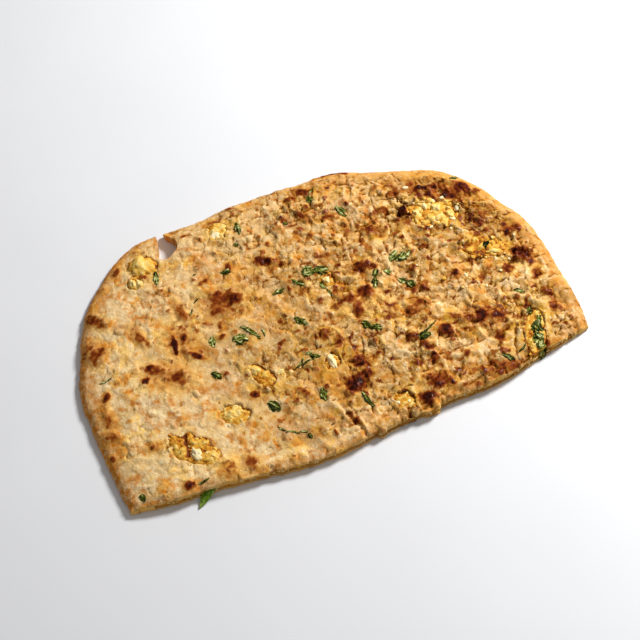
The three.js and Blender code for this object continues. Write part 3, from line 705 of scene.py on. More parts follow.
YELLOW = [
    (-50.8, 76.6, 2.2, 1.8, 0, 1), (-47.3, 73.2, 2.4, 1.8, 0, 1), (-70.5, 64, 2.6, 2.4, 0, 1),
    (84, 60, 9, 6, -40, 0.6), (92, 36, 6, 7, -20, 0.6), (23, 23, 3.6, 2.6, -25, 0.8),
    (-27, 25, 5, 7, 30, 0.7), (-42, 12, 6, 4, 0, 0.7), (-48, -4, 7, 4, -25, 0.7),
    (86, -8, 4, 6, 0, 0.7), (4, 56, 4, 3, 0, 0.5), (10, -25, 8, 4, -20, 0.6),
    (-26.1, 14.1, 1.2, 1.2, 0, 0.9), (-66, -3, 5, 4, 0, 0.7), (-5, 10, 4, 5, 0, 0.6),
    (30, 95, 8, 6, -10, 0.35), (-100, 0, 5, 10, 10, 0.4), (60, 35, 8, 9, 0, 0.3),
    (76, 30, 7, 8, 0, 0.45),
]
GREENISH = [
    (-45, 66, 5.5, 5, 0, 0.5), (8, 93, 5, 3, -20, 0.4), (-56, 90, 2, 4, 40, 0.5),
    (22, -11, 3, 2, 0, 0.4), (72, 77, 6, 3.5, -20, 0.4), (-91, 84, 4, 4, 0, 0.25),
    (-13.5, 85, 2, 1.6, 0, 0.7), (-36, 25, 3, 4, 0, 0.3),
]
GOLDEN = [
    (-5, 5, 30, 22, -20, 0.5), (-100, 5, 10, 26, 10, 0.5), (35, 96, 18, 8, -15, 0.35),
    (-15, 45, 18, 16, 0, 0.3), (45, -22, 26, 7, -8, 0.35), (-30, -22, 24, 7, 0, 0.5),
    (-30, 80, 10, 8, 0, 0.3), (60, 60, 12, 8, 0, 0.25),
]
ORANGE = [
    (-105.6, 25.8, 4, 12, 10, 1), (-97.7, 59, 7, 6, 0, 0.8), (-96, -25, 10, 2.6, -22, 1),
    (-92, 1.5, 4, 3, 0, 0.9), (-78.5, 57, 3.6, 7, 15, 0.8), (-107, 10, 4, 9, 20, 1),
    (-90.4, 19.8, 2, 2.4, 0, 0.8), (-77.7, 18.9, 1.8, 3, 0, 0.9), (-99, 5.8, 2, 1.6, 0, 0.8),
    (-112, 3, 2.5, 6, 15, 0.9), (-95, -19.4, 4.4, 3.6, 0, 1), (-83.8, 64.3, 4, 2.6, 0, 0.6),
    (-86, 83, 4, 9, -40, 0.8), (-107, 42, 3, 8, 0, 0.8), (-62, 18.3, 2.5, 4, 30, 0.9),
    (-51, 14.3, 3.4, 8, 30, 0.9), (-68.5, -22.3, 4.6, 3.6, 0, 0.9), (-36, 84, 7, 5.5, -20, 0.7),
    (-26, 70, 10, 6, -30, 0.7), (-74, 32, 12, 8, -30, 0.7), (-63, 44, 9, 9, 0, 0.6),
    (-84, -22, 5, 2.4, -20, 0.8), (-20, 46, 10, 12, 0, 0.5), (-8, 0, 16, 10, -25, 0.6),
    (-36, -14, 14, 7, -30, 0.4), (18, -30, 30, 4, -12, 0.6), (62, 88, 12, 3, -20, 0.6),
    (30, 100, 12, 4, -12, 0.5), (86, 40, 4, 8, 20, 0.5), (-72, 98, 6, 3, 40, 0.6),
]
# Broad stretches that are duller and darker, or paler where the last number is less than 0: partly the
# dough's own colour and partly painted shade, as by the groove inside the right rim and the right of the cut,
# and painted light, as at the rounded lower left rim.
BROAD_AND_SHADE = [
    (-92, 12, 22, 16, -60, -0.12), (-94, 70, 10, 12, 0, -0.10), (-64, 1, 12, 8, 0, -0.10),
    (-108, -14, 8, 10, 0, -0.3), (78, 77, 20, 5.5, -28, 0.40), (94, 45, 14, 8, -50, 0.2),
    (62, -26, 15, 4.4, -15, 0.40), (106, -2, 6, 12, 60, 0.28), (-6, 46, 8, 16, 0, 0.06),
    (48, 90, 14, 5, -15, -0.14), (9, 70, 10, 4, 0, -0.14), (72, 8, 12, 11, 0, -0.04),
    (34, 51, 9, 5, -15, -0.16), (15, 9, 7, 4, 0, -0.18), (86, 20, 10, 10, 0, -0.02),
    (-42, -27, 16, 4, -10, -0.16), (-80, 90, 12, 8, 0, -0.06), (56, 34, 5, 4, 0, -0.14),
    (40, -7, 6, 4, 0, -0.12), (-12, -27, 6, 5, 0, -0.12), (61, 65, 5, 8, 40, 0.24),
    (-30, 11, 7, 4, 0, -0.12), (107, 32, 4, 9, 25, 0.12), (76, 38, 9, 8, 0, 0.08),
    (-100, -8, 14, 14, 0, -0.28), (-20, 20, 34, 22, -20, 0.12), (-70, -16, 18, 9, -20, -0.2),
    (10, -12, 16, 10, -20, 0.1), (10, 75, 30, 16, -20, 0.04), (92, 53, 5, 4, -50, 0.2),
    (84, -24, 12, 5, -15, 0.22), (-15, 60, 12, 6, -25, 0.12), (-46, 4, 5, 8, 0, 0.1),
    (-36, -20, 9, 5, -20, 0.1), (72, 62, 12, 12, -25, 0.2), (-30, -14, 16, 10, -20, 0.1),
    (88, 60, 12, 8, -40, 0.16), (-52, 40, 16, 12, -30, 0.1), (90, 50, 8, 5, -50, 0.14),
    (-96, 14, 16, 14, 0, -0.16), (-88, -16, 14, 8, -20, -0.12),
]

# Layers of noise that each part of the colour follows.
FLOURY = [(0.5, 11, 40), (0.4, 4.5, 39)]
BROWNING = [(0.05, 24, 41), (0.09, 9, 42), (0.08, 3.6, 43)]
PATCHES = [(1, 6.5, 44), (0.5, 2.6, 45), (0.5, 17, 46)]
DOTS = [(1, 2.6, 27), (0.4, 12, 28)]
SPECKS = [(1, 1.9, 21), (0.4, 7, 20)]
FLECKS = [(1, 6.0, 15), (0.7, 2.4, 14), (0.4, 20, 13)]
WARM_AND_COOL = [(0.8, 6.0, 2), (0.6, 2.6, 1), (0.5, 15, 92)]
SPOT_EDGES = [(0.315, 3.4, 47), (0.195, 1.5, 48)]
BLOTCHES = [(0.16, 2.4, 49), (0.14, 1.3, 16)]
GLASSY = [(1, 8.5, 19), (0.5, 3.3, 18)]
# How brown, from 0 for cream to 1 for charred: the left and the right of the skin, the sealed rim
# and the underside; and how much browner than the rest patches, dots and toasted bumps are.
BROWN_LEFT = 0.14
BROWN_RIGHT = 0.33
BROWN_BAND = 0.44
BROWN_UNDER = 0.5
BROWNER_PATCH = 0.26
BROWNER_DOT = 0.3
BROWNER_BUMP = 0.3
UNDERSIDE = 0.4  # the underside is what lies lower than this
TORN_BELOW = 5.0  # the torn sides of a split lie lower than this
LEAF_NEAR = 6.0  # leaves farther off than this have no part in the colour


def broad_and_shade(x, y):
    change = np.zeros(x.shape)
    for place in BROAD_AND_SHADE:
        change += place[5] * ramp(reach(x, y, place), 1.6, 0.4)
    return change


def paint(mesh, values):
    for name, value in values.items():
        layer = mesh.attributes.new(name, "FLOAT", "POINT")
        layer.data.foreach_set("value", value.astype(np.float32))


# Its depths set the painted shade in the skin's hollows, and its crests the painted highlight, in the dough's
# colour.
def hollows(x, y):
    """How deep a point lies under the skin close round it; less than 0 on a crest."""
    here = fine_relief(x, y)
    deep = np.zeros(x.shape)
    for step in (0.9, 2.0):
        for turn in (30, 120, 210, 300):
            dx, dy = turned(step, 0, turn)
            deep += (fine_relief(x + dx, y + dy) - here) / 8
    return deep


def leaf_gap(points):
    """Distance from the nearest leaf, LEAF_NEAR at most."""
    near = [leaf_solids.find_nearest(Vector(p), LEAF_NEAR * MM)[3] for p in points]
    return np.array([LEAF_NEAR if gap is None else gap / MM for gap in near])


def dough_colours(mesh):
    at = points_of(mesh)
    x, y, z = (at / MM).T
    rim, cut = from_edge(x, y, rim_tree), from_edge(x, y, cut_tree)
    inside = ramp(rim, 3, 11)
    lumpy = crumbly(x, y)
    deep = hollows(x, y)
    (_, lump_own), (_, large_own), (_, small_own) = skin_grains(x, y)
    own = 0.55 * (lump_own - 0.5) + 0.65 * (large_own - 0.5) + 0.4 * (small_own - 0.5)
    golden = spread_of(x, y, GOLDEN, 71)
    floury = smooth(0.55 + swells(x, y, FLOURY) - (x + 40) / 160)
    pale = np.maximum(spread_of(x, y, PALE, 73), 0.8 * floury * (1 - golden))
    # How brown the skin is, with no spots
    broad = broad_and_shade(x, y)
    brown = BROWN_LEFT + (BROWN_RIGHT - BROWN_LEFT) * ramp(x + 0.3 * y, -60, 40)
    brown += 0.36 * own * (0.35 + lumpy) + swells(x, y, BROWNING)
    # The broad stretches darken or pale the browning too, partly as painted shade and painted light.
    brown += np.minimum(broad, 0.6 * broad) + 0.1 * golden - 0.1 * pale
    brown += BROWNER_PATCH * ramp(swells(x, y, PATCHES), 0.3, 0.9)
    brown += BROWNER_BUMP * toasted_bumps(x, y)
    brown += BROWNER_DOT * ramp(swells(x, y, DOTS) + 0.12 * ramp(x, 0, -40), 0.5, 0.8)
    band = ramp(rim - 1.5 * noise(x, y, 5, 23), 9, 5) * (0.3 + 0.7 * ramp(x, 10, 50))
    brown += band * (BROWN_BAND + 0.1 * noise(x, y, 3.0, 11) - brown)
    # Single pale lumps, grains and specks
    pale = np.maximum(pale, 0.8 * (lump_own < 0.14) * (0.4 + 0.6 * (large_own < 0.6)))
    pale = np.maximum(pale, 1.3 * (small_own > 0.8) * np.minimum(lumpy, 0.75))
    pale = np.maximum(pale, ramp(swells(x, y, SPECKS), 0.52, 0.72))
    # Orange flecks, more of them on the left, and orange edges
    flecks = 0.2 * ramp(x, -10, -70) + swells(x, y, FLECKS)
    orange = np.maximum(spread_of(x, y, ORANGE, 79), 0.9 * ramp(flecks, 0.25, 0.75))
    edge_noise = 2 * noise(x, y, 5, 12)
    orange = np.maximum(orange, ramp(rim - edge_noise, 5.5, 1.5) * ramp(x, -40, -70))
    orange = np.maximum(orange, 0.8 * ramp(cut - 2 * edge_noise, 6, 0))
    # Warm and cool patches
    plate, _ = plates(x, y)
    warmth = swells(x, y, WARM_AND_COOL) + 1.3 * (plate - 0.5)
    warmth += 0.5 * golden - 0.5 * pale + 0.4 * np.clip(orange, 0, 1) - 0.1 * band
    warmth = (warmth - 0.3 * ramp(x, 10, 70)) * (1 + 0.5 * ramp(x, 0, -40))
    # Browned spots with warm dough round them, and a tan ring round the darker ones
    blotches = swells(x, y, BLOTCHES) + 0.18 * own
    spot_edges = swells(x, y, SPOT_EDGES)
    for spot in BAKED:
        r = reach(x, y, spot) + spot_edges
        warmth = np.maximum(warmth, 1.1 * ramp(r, 2.6, 1.0))
        core = spot[5] * (0.97 - 0.42 * np.clip(r, 0, None) ** 3) + blotches
        ring = 0.52 * ramp(r, 2.1, 1.0) * (spot[5] > 0.6)
        brown = np.maximum(brown, np.maximum(core, ring))
    under = z < UNDERSIDE
    brown = np.where(under, BROWN_UNDER, brown)
    # Yellow and green of what lies under the skin
    tear = tear_gap(x, y)
    yellow = np.maximum(spread_of(x, y, YELLOW, 75), np.exp(-np.clip(tear - 1, 0, None) / 3.0))
    yellow = np.maximum(yellow, 0.7 * (lump_own > 0.84) * smooth(large_own * 3))
    leaf = leaf_gap(at)
    green = np.maximum(spread_of(x, y, GREENISH, 77), 0.5 * bell(leaf, 0.8))
    pale = np.maximum(pale, 0.5 * bell(leaf - 1.2, 1.0))
    paint(mesh, {
        "brown": brown,
        # Painted shade: darker in the hollows of the skin's relief, less so in the rim's band.
        "hollow": np.clip(3.0 * deep - 0.1, 0, 1) * (1 - 0.6 * band),
        # Painted highlight: paler on the crests of the skin's relief.
        "crest": np.clip(-2.2 * deep - 0.15, 0, 1),
        # Painted shade again: darker still in the deepest hollows.
        "crack": np.clip(4 * deep - 1.4, 0, 1),
        "glassy": ramp(swells(x, y, GLASSY), 0.15, 0.65) * (1 - golden),
        # Partly the dough's own duller colour and partly painted shade.
        "dull": np.clip(3 * broad, 0, 1),
        "crumbly": lumpy * (1 - 0.7 * band),
        "band": band,
        "pale": np.clip(pale - 0.6 * brown * (brown > 0.55), 0, 1),
        "yellow": np.clip(yellow * inside, 0, 1),
        "golden": golden,
        "warm": np.clip(warmth - 0.2, 0, 1),
        "cool": np.clip(-1.4 * warmth, 0, 1),
        "orange": np.clip(orange, 0, 1),
        "green": np.clip(green * inside, 0, 1),
        # Paler on the cut and torn faces: partly the crumb's own colour, partly painted light against the
        # shade on these steep faces.
        "cut_face": np.maximum(ramp(cut, 0.9, 0.4), ramp(tear, 0.6, 0) * (z < TORN_BELOW)),
        "under": under.astype(float),
    })


dough_colours(dough_mesh)


class Wire:
    """A value on its way through a material's nodes, so that shader maths reads as arithmetic."""

    def __init__(self, tree, socket=None):
        self.tree = tree
        self.socket = socket

    def node(self, kind, settings=None, sockets=None, out=0):
        made = self.tree.nodes.new(kind)
        for name, value in (settings or {}).items():
            if name == "stops":
                while len(made.color_ramp.elements) < len(value):
                    made.color_ramp.elements.new(0.5)
                for stop, (place, colour) in zip(made.color_ramp.elements, value):
                    stop.position = place
                    stop.color = colour
            else:
                setattr(made, name, value)
        for name, value in (sockets or {}).items():
            if isinstance(value, Wire):
                self.tree.links.new(value.socket, made.inputs[name])
            else:
                made.inputs[name].default_value = value
        return Wire(self.tree, made.outputs[out] if made.outputs else None)

    def maths(self, operation, a, b):
        return self.node("ShaderNodeMath", {"operation": operation}, {0: a, 1: b})

    def __add__(self, other):
        return self.maths("ADD", self, other)

    __radd__ = __add__

    def __sub__(self, other):
        return self.maths("SUBTRACT", self, other)

    def __rsub__(self, other):
        return self.maths("SUBTRACT", other, self)

    def __mul__(self, other):
        return self.maths("MULTIPLY", self, other)

    __rmul__ = __mul__


def srgb(*screen):
    """A colour as seen on a screen, as the light that it stands for."""
    return tuple(((c / 255 + 0.055) / 1.055) ** 2.4 if c > 10 else c / 3294 for c in screen) + (1,)


def finish(name):
    """A new material and the start of its wires."""
    material = bpy.data.materials.new(name)
    material.use_nodes = True
    material.node_tree.nodes.clear()
    return material, Wire(material.node_tree)


def painted(wires, name):
    return wires.node("ShaderNodeAttribute", {"attribute_name": name}, out=2)


def blended(wires, share, a, b, **settings):
    settings = {"data_type": "RGBA", "clamp_factor": True, **settings}
    return wires.node("ShaderNodeMix", settings, {0: share, 6: a, 7: b}, out=2)


def between(wires, value, low, high):
    """0 below low, 1 above high, and smooth between them."""
    sockets = {0: value, 1: low, 2: high, 3: 0.0, 4: 1.0}
    return wires.node("ShaderNodeMapRange", {"interpolation_type": "SMOOTHSTEP"}, sockets)


def ramped(wires, value, colours):
    """The colour that a value stands for, between stops of a place and a screen colour."""
    stops = [(place, srgb(*colour)) for place, *colour in colours]
    return wires.node("ShaderNodeValToRGB", {"stops": stops}, {0: value})


def mottle(wires, size, detail=2.0, rough=0.5, shift=0.0):
    """Noise from 0 to 1 over the piece, `size` apart."""
    place = wires.node("ShaderNodeTexCoord", out=3)
    place = wires.node("ShaderNodeMapping", None, {0: place, 1: (shift, shift, 0.0)})
    sockets = {"Vector": place, "Scale": 1 / (size * MM), "Detail": detail, "Roughness": rough}
    return wires.node("ShaderNodeTexNoise", None, sockets)


def granules(wires, size, out=0):
    """Rounded grains over the piece, `size` apart: how far from one's middle, or its colour."""
    place = wires.node("ShaderNodeTexCoord", out=3)
    sway = wires.node("ShaderNodeTexNoise", None, {"Vector": place, "Scale": 0.6 / (size * MM)}, out=1)
    sockets = {0: sway, 1: (0.9 * size * MM,) * 3, 2: place}
    swayed = wires.node("ShaderNodeVectorMath", {"operation": "MULTIPLY_ADD"}, sockets)
    return wires.node("ShaderNodeTexVoronoi", None, {"Vector": swayed, "Scale": 1 / (size * MM)}, out=out)


def shaded(wires, colour, rough, height, depth, **constants):
    """The shader itself, with the relief too fine for the mesh as a bump of that depth in mm."""
    bump = wires.node("ShaderNodeBump", None, {"Strength": 1.0, "Distance": depth * MM, "Height": height})
    sockets = {"Base Color": colour, "Roughness": rough, "Normal": bump, **constants}
    shader = wires.node("ShaderNodeBsdfPrincipled", None, sockets)
    wires.node("ShaderNodeOutputMaterial", None, {"Surface": shader})


# From cream to charred: how brown, and the colour as seen on a screen.
DOUGH_COLOURS = [
    (0.00, 252, 222, 166), (0.15, 246, 200, 134), (0.28, 235, 184, 114), (0.40, 212, 158, 76),
    (0.52, 188, 124, 50), (0.64, 160, 88, 32), (0.78, 128, 56, 16), (0.90, 94, 34, 14),
    (1.00, 56, 20, 12),
]
# What tints it from there, in this order: an attribute or a share below, how strongly and its colour.
# Of these, the tint on the crests is a painted highlight, the one on single grains a painted glint, and the
# dull one partly painted shade.
TINTS = [
    ("golden", 0.5, 212, 156, 42), ("yellow", 0.7, 234, 184, 64), ("pale", 0.75, 244, 210, 158),
    ("glassy", 0.5, 210, 170, 114), ("crest", 0.6, 252, 226, 172), ("lit grain", 1.6, 255, 240, 206),
    ("band", 0.6, 218, 158, 82), ("speckled orange", 1.0, 210, 132, 46), ("green", 0.6, 132, 122, 56),
    ("dull", 0.6, 158, 118, 62),
]
# Partly the paler crumb of cut and torn dough, partly painted light that lifts the shade on those steep
# faces.
CRUMB_AND_LIGHT_COLOUR = (238, 196, 120)  # of the torn and cut dough
# What the red, green and blue are multiplied by where the dough is warm or cool, and for the painted
# shade in its hollows and cracks and between its grains.
WARMER = (1.07, 0.95, 0.56, 1)
COOLER = (0.89, 0.955, 1.9, 1)
SHADE_IN_HOLLOWS = (0.40, 0.26, 0.04, 1)
GRAIN_DEPTH = 1.1  # of the relief that is too fine for the mesh


def tinted(wires, share, colour, by):
    """The colour, with a share of it multiplied by another."""
    return blended(wires, share, colour, by, blend_type="MULTIPLY")


def dough_finish():
    material, wires = finish("baked dough")
    coarse = 1 - granules(wires, 1.7)
    small = 1 - granules(wires, 0.9)
    fine = mottle(wires, 0.5, 2.0, 0.6, 0.3)
    broad = mottle(wires, 7.0, 2.0, 0.5, 0.7)
    patchy = mottle(wires, 2.4, 3.0, 0.5, 0.9)
    height = 0.45 * coarse + 0.3 * small + 0.3 * fine
    baked = painted(wires, "brown")
    grainy = 0.06 + 0.85 * painted(wires, "crumbly")
    chance = granules(wires, 1.7, 1)
    # Browner lower down between the fine grains, which is painted shade, and browner at random in patches and
    # from grain to grain.
    brown = baked + 0.35 * grainy * (0.62 - height) + 0.4 * (patchy - 0.5) + 0.5 * grainy * (chance - 0.5)
    spots_under = 0.9 * (broad - 0.55) + 0.5 * between(wires, broad, 0.58, 0.72)
    brown = brown + painted(wires, "under") * spots_under
    colour = ramped(wires, brown, DOUGH_COLOURS)
    speckled = between(wires, patchy + 0.5 * (fine - 0.5), 0.38, 0.62)
    # Painted glints: single grains here and there made nearly white in their middles.
    painted_glint = between(wires, granules(wires, 1.2, 1), 0.66, 0.72)
    shares = {
        "lit grain": painted_glint * (0.6 - granules(wires, 1.2)),
        "speckled orange": painted(wires, "orange") * (0.4 + 0.6 * speckled),
    }
    not_burnt = 1 - between(wires, baked, 0.42, 0.6)
    for name, strength, *tint in TINTS:
        share = shares.get(name) or painted(wires, name)
        colour = blended(wires, share * not_burnt * strength, colour, srgb(*tint))
    # Partly the crumb's own colour, partly painted light on the shaded cut and torn faces.
    colour = blended(wires, painted(wires, "cut_face") * 0.75, colour, srgb(*CRUMB_AND_LIGHT_COLOUR))
    colour = tinted(wires, painted(wires, "warm") * not_burnt, colour, WARMER)
    colour = tinted(wires, painted(wires, "cool") * not_burnt, colour, COOLER)
    # Painted shade: darker and more saturated lower down between the fine grains, in the skin's hollows and
    # most in its deepest ones.
    shade_between_grains = 1.8 * (0.1 + grainy) * (0.74 - height)
    for share in (shade_between_grains, painted(wires, "hollow"), painted(wires, "crack")):
        colour = tinted(wires, share, colour, SHADE_IN_HOLLOWS)
    oily = 0.3 * painted(wires, "crest")
    shine = {"Specular IOR Level": 0.02, "Coat Weight": oily, "Coat Roughness": 0.3}
    shaded(wires, colour, 0.62 - 0.1 * fine, height * (0.2 + 0.8 * grainy), GRAIN_DEPTH, **shine)
    return material


SHARP_FROM = 75  # edges that turn by more than this are shaded sharp


def add_piece(name, mesh, material, slot, *nodes):
    """A finished piece with its finish, on the body that the nodes ride on."""
    piece = in_the_scene(name, mesh)
    mesh.materials.clear()
    mesh.materials.append(material)
    mesh.shade_smooth()
    mesh.set_sharp_from_angle(angle=math.radians(SHARP_FROM))
    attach(piece, "root")
    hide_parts(*nodes)


add_piece("dough", dough_mesh, dough_finish(), "dough", "bread")

# Filling
# Cauliflower, grated and cooked dry with turmeric, spread in one layer between the skins. Crumbs
# and whole florets of it stand up where the skin has split over them.

CLEAR = 0.3  # gap between the filling and the dough
FILLING_LOW = 1.6
FILLING_TOP = 3.95
FILLING_BACK = 1.1  # its face at the cut stands this far behind the knife's path
FILLING_ROUGH = 0.5
FILLING_TONE = 0.3
SLAB_GRID = (200, 100)
CUT_ENDS = (-98.0, 96.0)  # the layer ends here, inside the sealed dough
CUT_STEPS = 260  # points along the cut, with a crumb at each between those ends

# Crumbs in each split: how many, how large, how high they reach and how pale, from 0 to 1.
CRUMBS = [
    (28, 5.2, 6.8, 0.7), (20, 4.2, 6.5, 0.34), (12, 3.2, 6, 0.56), (7, 2.4, 5.9, 0.8), (5, 2.2, 6, 0.4),
    (4, 2.2, 5.8, 0.5), (18, 3, 6.4, 0.54), (8, 2.4, 5.9, 0.76), (9, 2.6, 5.9, 0.46), (6, 2, 5.6, 0.5),
    (6, 2.2, 5.6, 0.6), (6, 2.2, 5.7, 0.5),
]
LARGE_CRUMBS = 4.0  # the filling lies deeper in splits with crumbs larger than this
SPILLED = 1.6  # how far crumbs lie out over the skin round a split
CRUMB_TRIES = 30  # for each crumb
CRUMBS_APART = 0.62  # as a part of two half sizes
CLEFT = ((-78.3, 3.5), (-80.6, -9.5))  # the ends of a scorched gap between two florets
CLEFT_WIDTH = 0.8
MOUND_STEPS = 4  # to a mm of a split's half size
MOUND_OVER = 1.16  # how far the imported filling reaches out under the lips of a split
MOUND_SWELLS = ([(0.6, 2.0, 86)], [(0.6, 2.0, 87)])

# Crumbs on the skin lie right of and behind this point, among those thrown over this area.
SKIN_CRUMBS_FROM = (50, 15)
SKIN_CRUMBS_X = (-105, 110)
SKIN_CRUMBS_Y = (-32, 108)
SKIN_CRUMB_TRIES = 3600

# Whole florets and larger pieces: middle, half sizes across and along, top, turn and how pale.
FLORETS = [
    (75.4, 65.4, 2.9, 2.7, 6.9, 0, 0.55), (65.4, 67, 2.2, 2.6, 6.8, 0, 0.55),
    (79.5, 59.5, 2.6, 3, 6.5, 0, 0.5), (70, 62, 2.3, 2.2, 6.6, 30, 0.55),
    (70.5, 68.5, 2, 2.4, 6.7, 0, 0.65), (88, 31.5, 4.2, 2, 6.7, -20, 0.5),
    (-25, 94.4, 3.2, 3, 6.2, 0, 0.85), (-62.4, 92.2, 5.4, 5.6, 7.5, -20, 0.46),
    (-69.6, 84.6, 2.2, 2.8, 7, 0, 0.55), (-67, 83.6, 2, 2.6, 6.8, 0, 0.6),
    (-77.4, -9.6, 2.6, 4.4, 7, 10, 0.8), (-71.6, -12, 4.4, 2.6, 6.6, -30, 0.5),
    (-56, 2.6, 3.6, 2.8, 6.5, 0, 0.5), (-5.2, 9, 1.7, 4.8, 6.6, -5, 0.8),
    (12, -22.6, 1.3, 2.6, 5.6, 30, 0.8), (16.6, -23.4, 1.4, 2.4, 5.6, -20, 0.75),
    (11.2, 49.8, 2.6, 2.8, 6.2, 0, 0.65), (-38, 19, 4.4, 2.6, 6.6, -60, 0.5),
    (-28, 13.5, 3, 1.8, 6.3, 10, 0.6),
]
FLORET_HALF_HEIGHT = 2.4  # at most


def broken_lumps(places, detail, dice, torn_sides=8):
    """Pieces of cauliflower, each a ball made knobbly with a few flat torn sides. A place is a
    middle, half sizes, a turn and how pale it is."""
    bm = bmesh.new()
    bmesh.ops.create_icosphere(bm, subdivisions=detail, radius=1)
    ball = mesh_of(bm, "ball")
    out = points_of(ball)
    mesh = worked(ball, "ARRAY", count=len(places))
    places = np.array(places, float)[:, None, :]
    shift = dice.uniform(0, 60, (len(places), 1, 3))
    x, y, z = out.T
    swell = noise(1.5 * x + shift[..., 0], 1.5 * y + z + shift[..., 1], 1, 81)
    buds = grains(2.1 * x + z + shift[..., 1], 2.1 * y - z + shift[..., 2], 1, 82)[0]
    form = out * (0.9 + 0.24 * swell + (0.1 if torn_sides else 0.18) * buds)[..., None]
    for _ in range(torn_sides):
        side = dice.normal(size=(len(places), 1, 3))
        side /= np.linalg.norm(side, axis=-1, keepdims=True)
        form = form - 0.92 * np.clip((form * side).sum(-1, keepdims=True) - 0.56, 0, None) * side
    form = form * places[..., 3:6]
    across, along = turned(form[..., 0], form[..., 1], places[..., 6])
    at = places[..., :3] + np.stack([across, along, form[..., 2]], -1)
    set_points(mesh, at.reshape(-1, 3) * MM)
    # Each piece's own paleness, then lighter on the tops of its buds and of the piece and darker between buds
    # and at its foot: painted light and shade.
    paint(mesh, {"tone": (places[..., 7] + 0.3 * (buds - 0.5) + 0.3 * (z - 0.6)).ravel()})
    return mesh


def top_of(tree, x, y):
    """Height of what lies highest at each point."""
    heights = []
    for a, b in zip(x, y):
        hit = tree.ray_cast(Vector((a, b, LOOK_FROM)) * MM, Vector((0, 0, -1)))[0]
        heights.append(hit.z / MM if hit else 0.0)
    return np.array(heights)


def filling_top(x, y):
    grain = grains(x + 0.6 * noise(x, y, 2.1, 84), y, 2.3, 85)[0]
    return np.minimum(FILLING_TOP, ceiling_at(x, y) - CLEAR) - FILLING_ROUGH * (1 - grain)


def kept_inside(x, y, by):
    """The places, those nearer than that to the edge of the bread moved in."""
    away, far = np.arctan2(y - MIDDLE[1], x - MIDDLE[0]), np.hypot(x - MIDDLE[0], y - MIDDLE[1])
    far = np.minimum(far, np.interp(np.degrees(away) % 360, degrees, radii, period=360) - by)
    return MIDDLE[0] + far * np.cos(away), MIDDLE[1] + far * np.sin(away)


def round_tear(tear, x, y, by):
    """Places given from a split's middle and along its length, kept that far inside the bread."""
    x, y = turned(x, y, tear[4])
    return kept_inside(tear[0] + x, tear[1] + y, by)


def crumbs_in(index, dice):
    """Crumbs packed side by side inside one split and a little over its edge."""
    tear = TEARS[index]
    count, size, top, tone = CRUMBS[index]
    tries = CRUMB_TRIES * count
    far, turn = np.sqrt(dice.uniform(0, 1, tries)), dice.uniform(0, 2 * np.pi, tries)
    x, y = far * (tear[2] + SPILLED) * np.cos(turn), far * (tear[3] + SPILLED) * np.sin(turn)
    x, y = round_tear(tear, x, y, 3.0)
    inside = -tear_gap(x, y)
    halves = size / 2 * dice.uniform(0.45, 1.2, len(x)) * np.where(inside > 0, 1, 0.6)
    placed = []
    for a, b, deep, half in zip(x, y, inside, halves):
        if all(math.hypot(a - p[0], b - p[1]) > CRUMBS_APART * (half + p[3]) for p in placed):
            high = min(0.85 * half, 1.6)
            rise = top - high - dice.uniform(0, 0.8) if deep > 0 else top - 0.5
            placed.append((
                a, b, rise, half, half * dice.uniform(0.7, 1.2), high, dice.uniform(0, 360),
                tone + dice.uniform(-0.35, 0.3),
            ))
        if len(placed) == count:
            break
    return placed


def mound(index):
    """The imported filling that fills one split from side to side."""
    tear = TEARS[index]
    _, size, top, tone = CRUMBS[index]
    sunk, rounding = (0.8, 0.8) if size > LARGE_CRUMBS else (0.3, 1.4)
    mesh, column, row, ring = closed_sheet("mound", *[int(MOUND_STEPS * half) for half in tear[2:4]], 1)
    u, v = 2 * column / column.max() - 1, 2 * row / row.max() - 1
    u, v = u * np.sqrt(1 - v**2 / 2), v * np.sqrt(1 - u**2 / 2)
    far, turn = np.hypot(u, v), np.arctan2(v * tear[3], u * tear[2]) + math.radians(tear[4])
    wide = MOUND_OVER * torn_swell(index, turn)
    x, y = round_tear(tear, u * tear[2] * wide, v * tear[3] * wide, 2.0)
    place = bent(x, y, *MOUND_SWELLS)
    _, own, seam = grains(*place, 0.7 * size, 88)
    large = 0.25 + 0.75 * ramp(seam, 0, 0.22)
    small, small_own, _ = grains(*place, 1.3, 89)
    cleft = bell(line_reach(*place, *CLEFT), CLEFT_WIDTH)
    rise = 0.26 * size * (large * (0.5 + own) - 1) + 0.35 * small + 0.25 - rounding * far**5 - 0.7 * cleft
    level = np.where(ring == 0, top - sunk + rise, FILLING_LOW)
    set_points(mesh, np.stack([x, y, level], 1) * MM)
    # Each crumb's own tone, with painted shade in the seams between crumbs and towards the edge of the split,
    # and darker in the cleft.
    shade = 0.5 * (own - 0.5) + 0.3 * (small_own - 0.5) - 0.22 * (1 - large) - 0.12 * far**3 - 0.8 * cleft
    paint(mesh, {"tone": 0.1 + 0.6 * tone + shade + 0.16 * noise(x, y, 3.0, 90)})
    return mesh


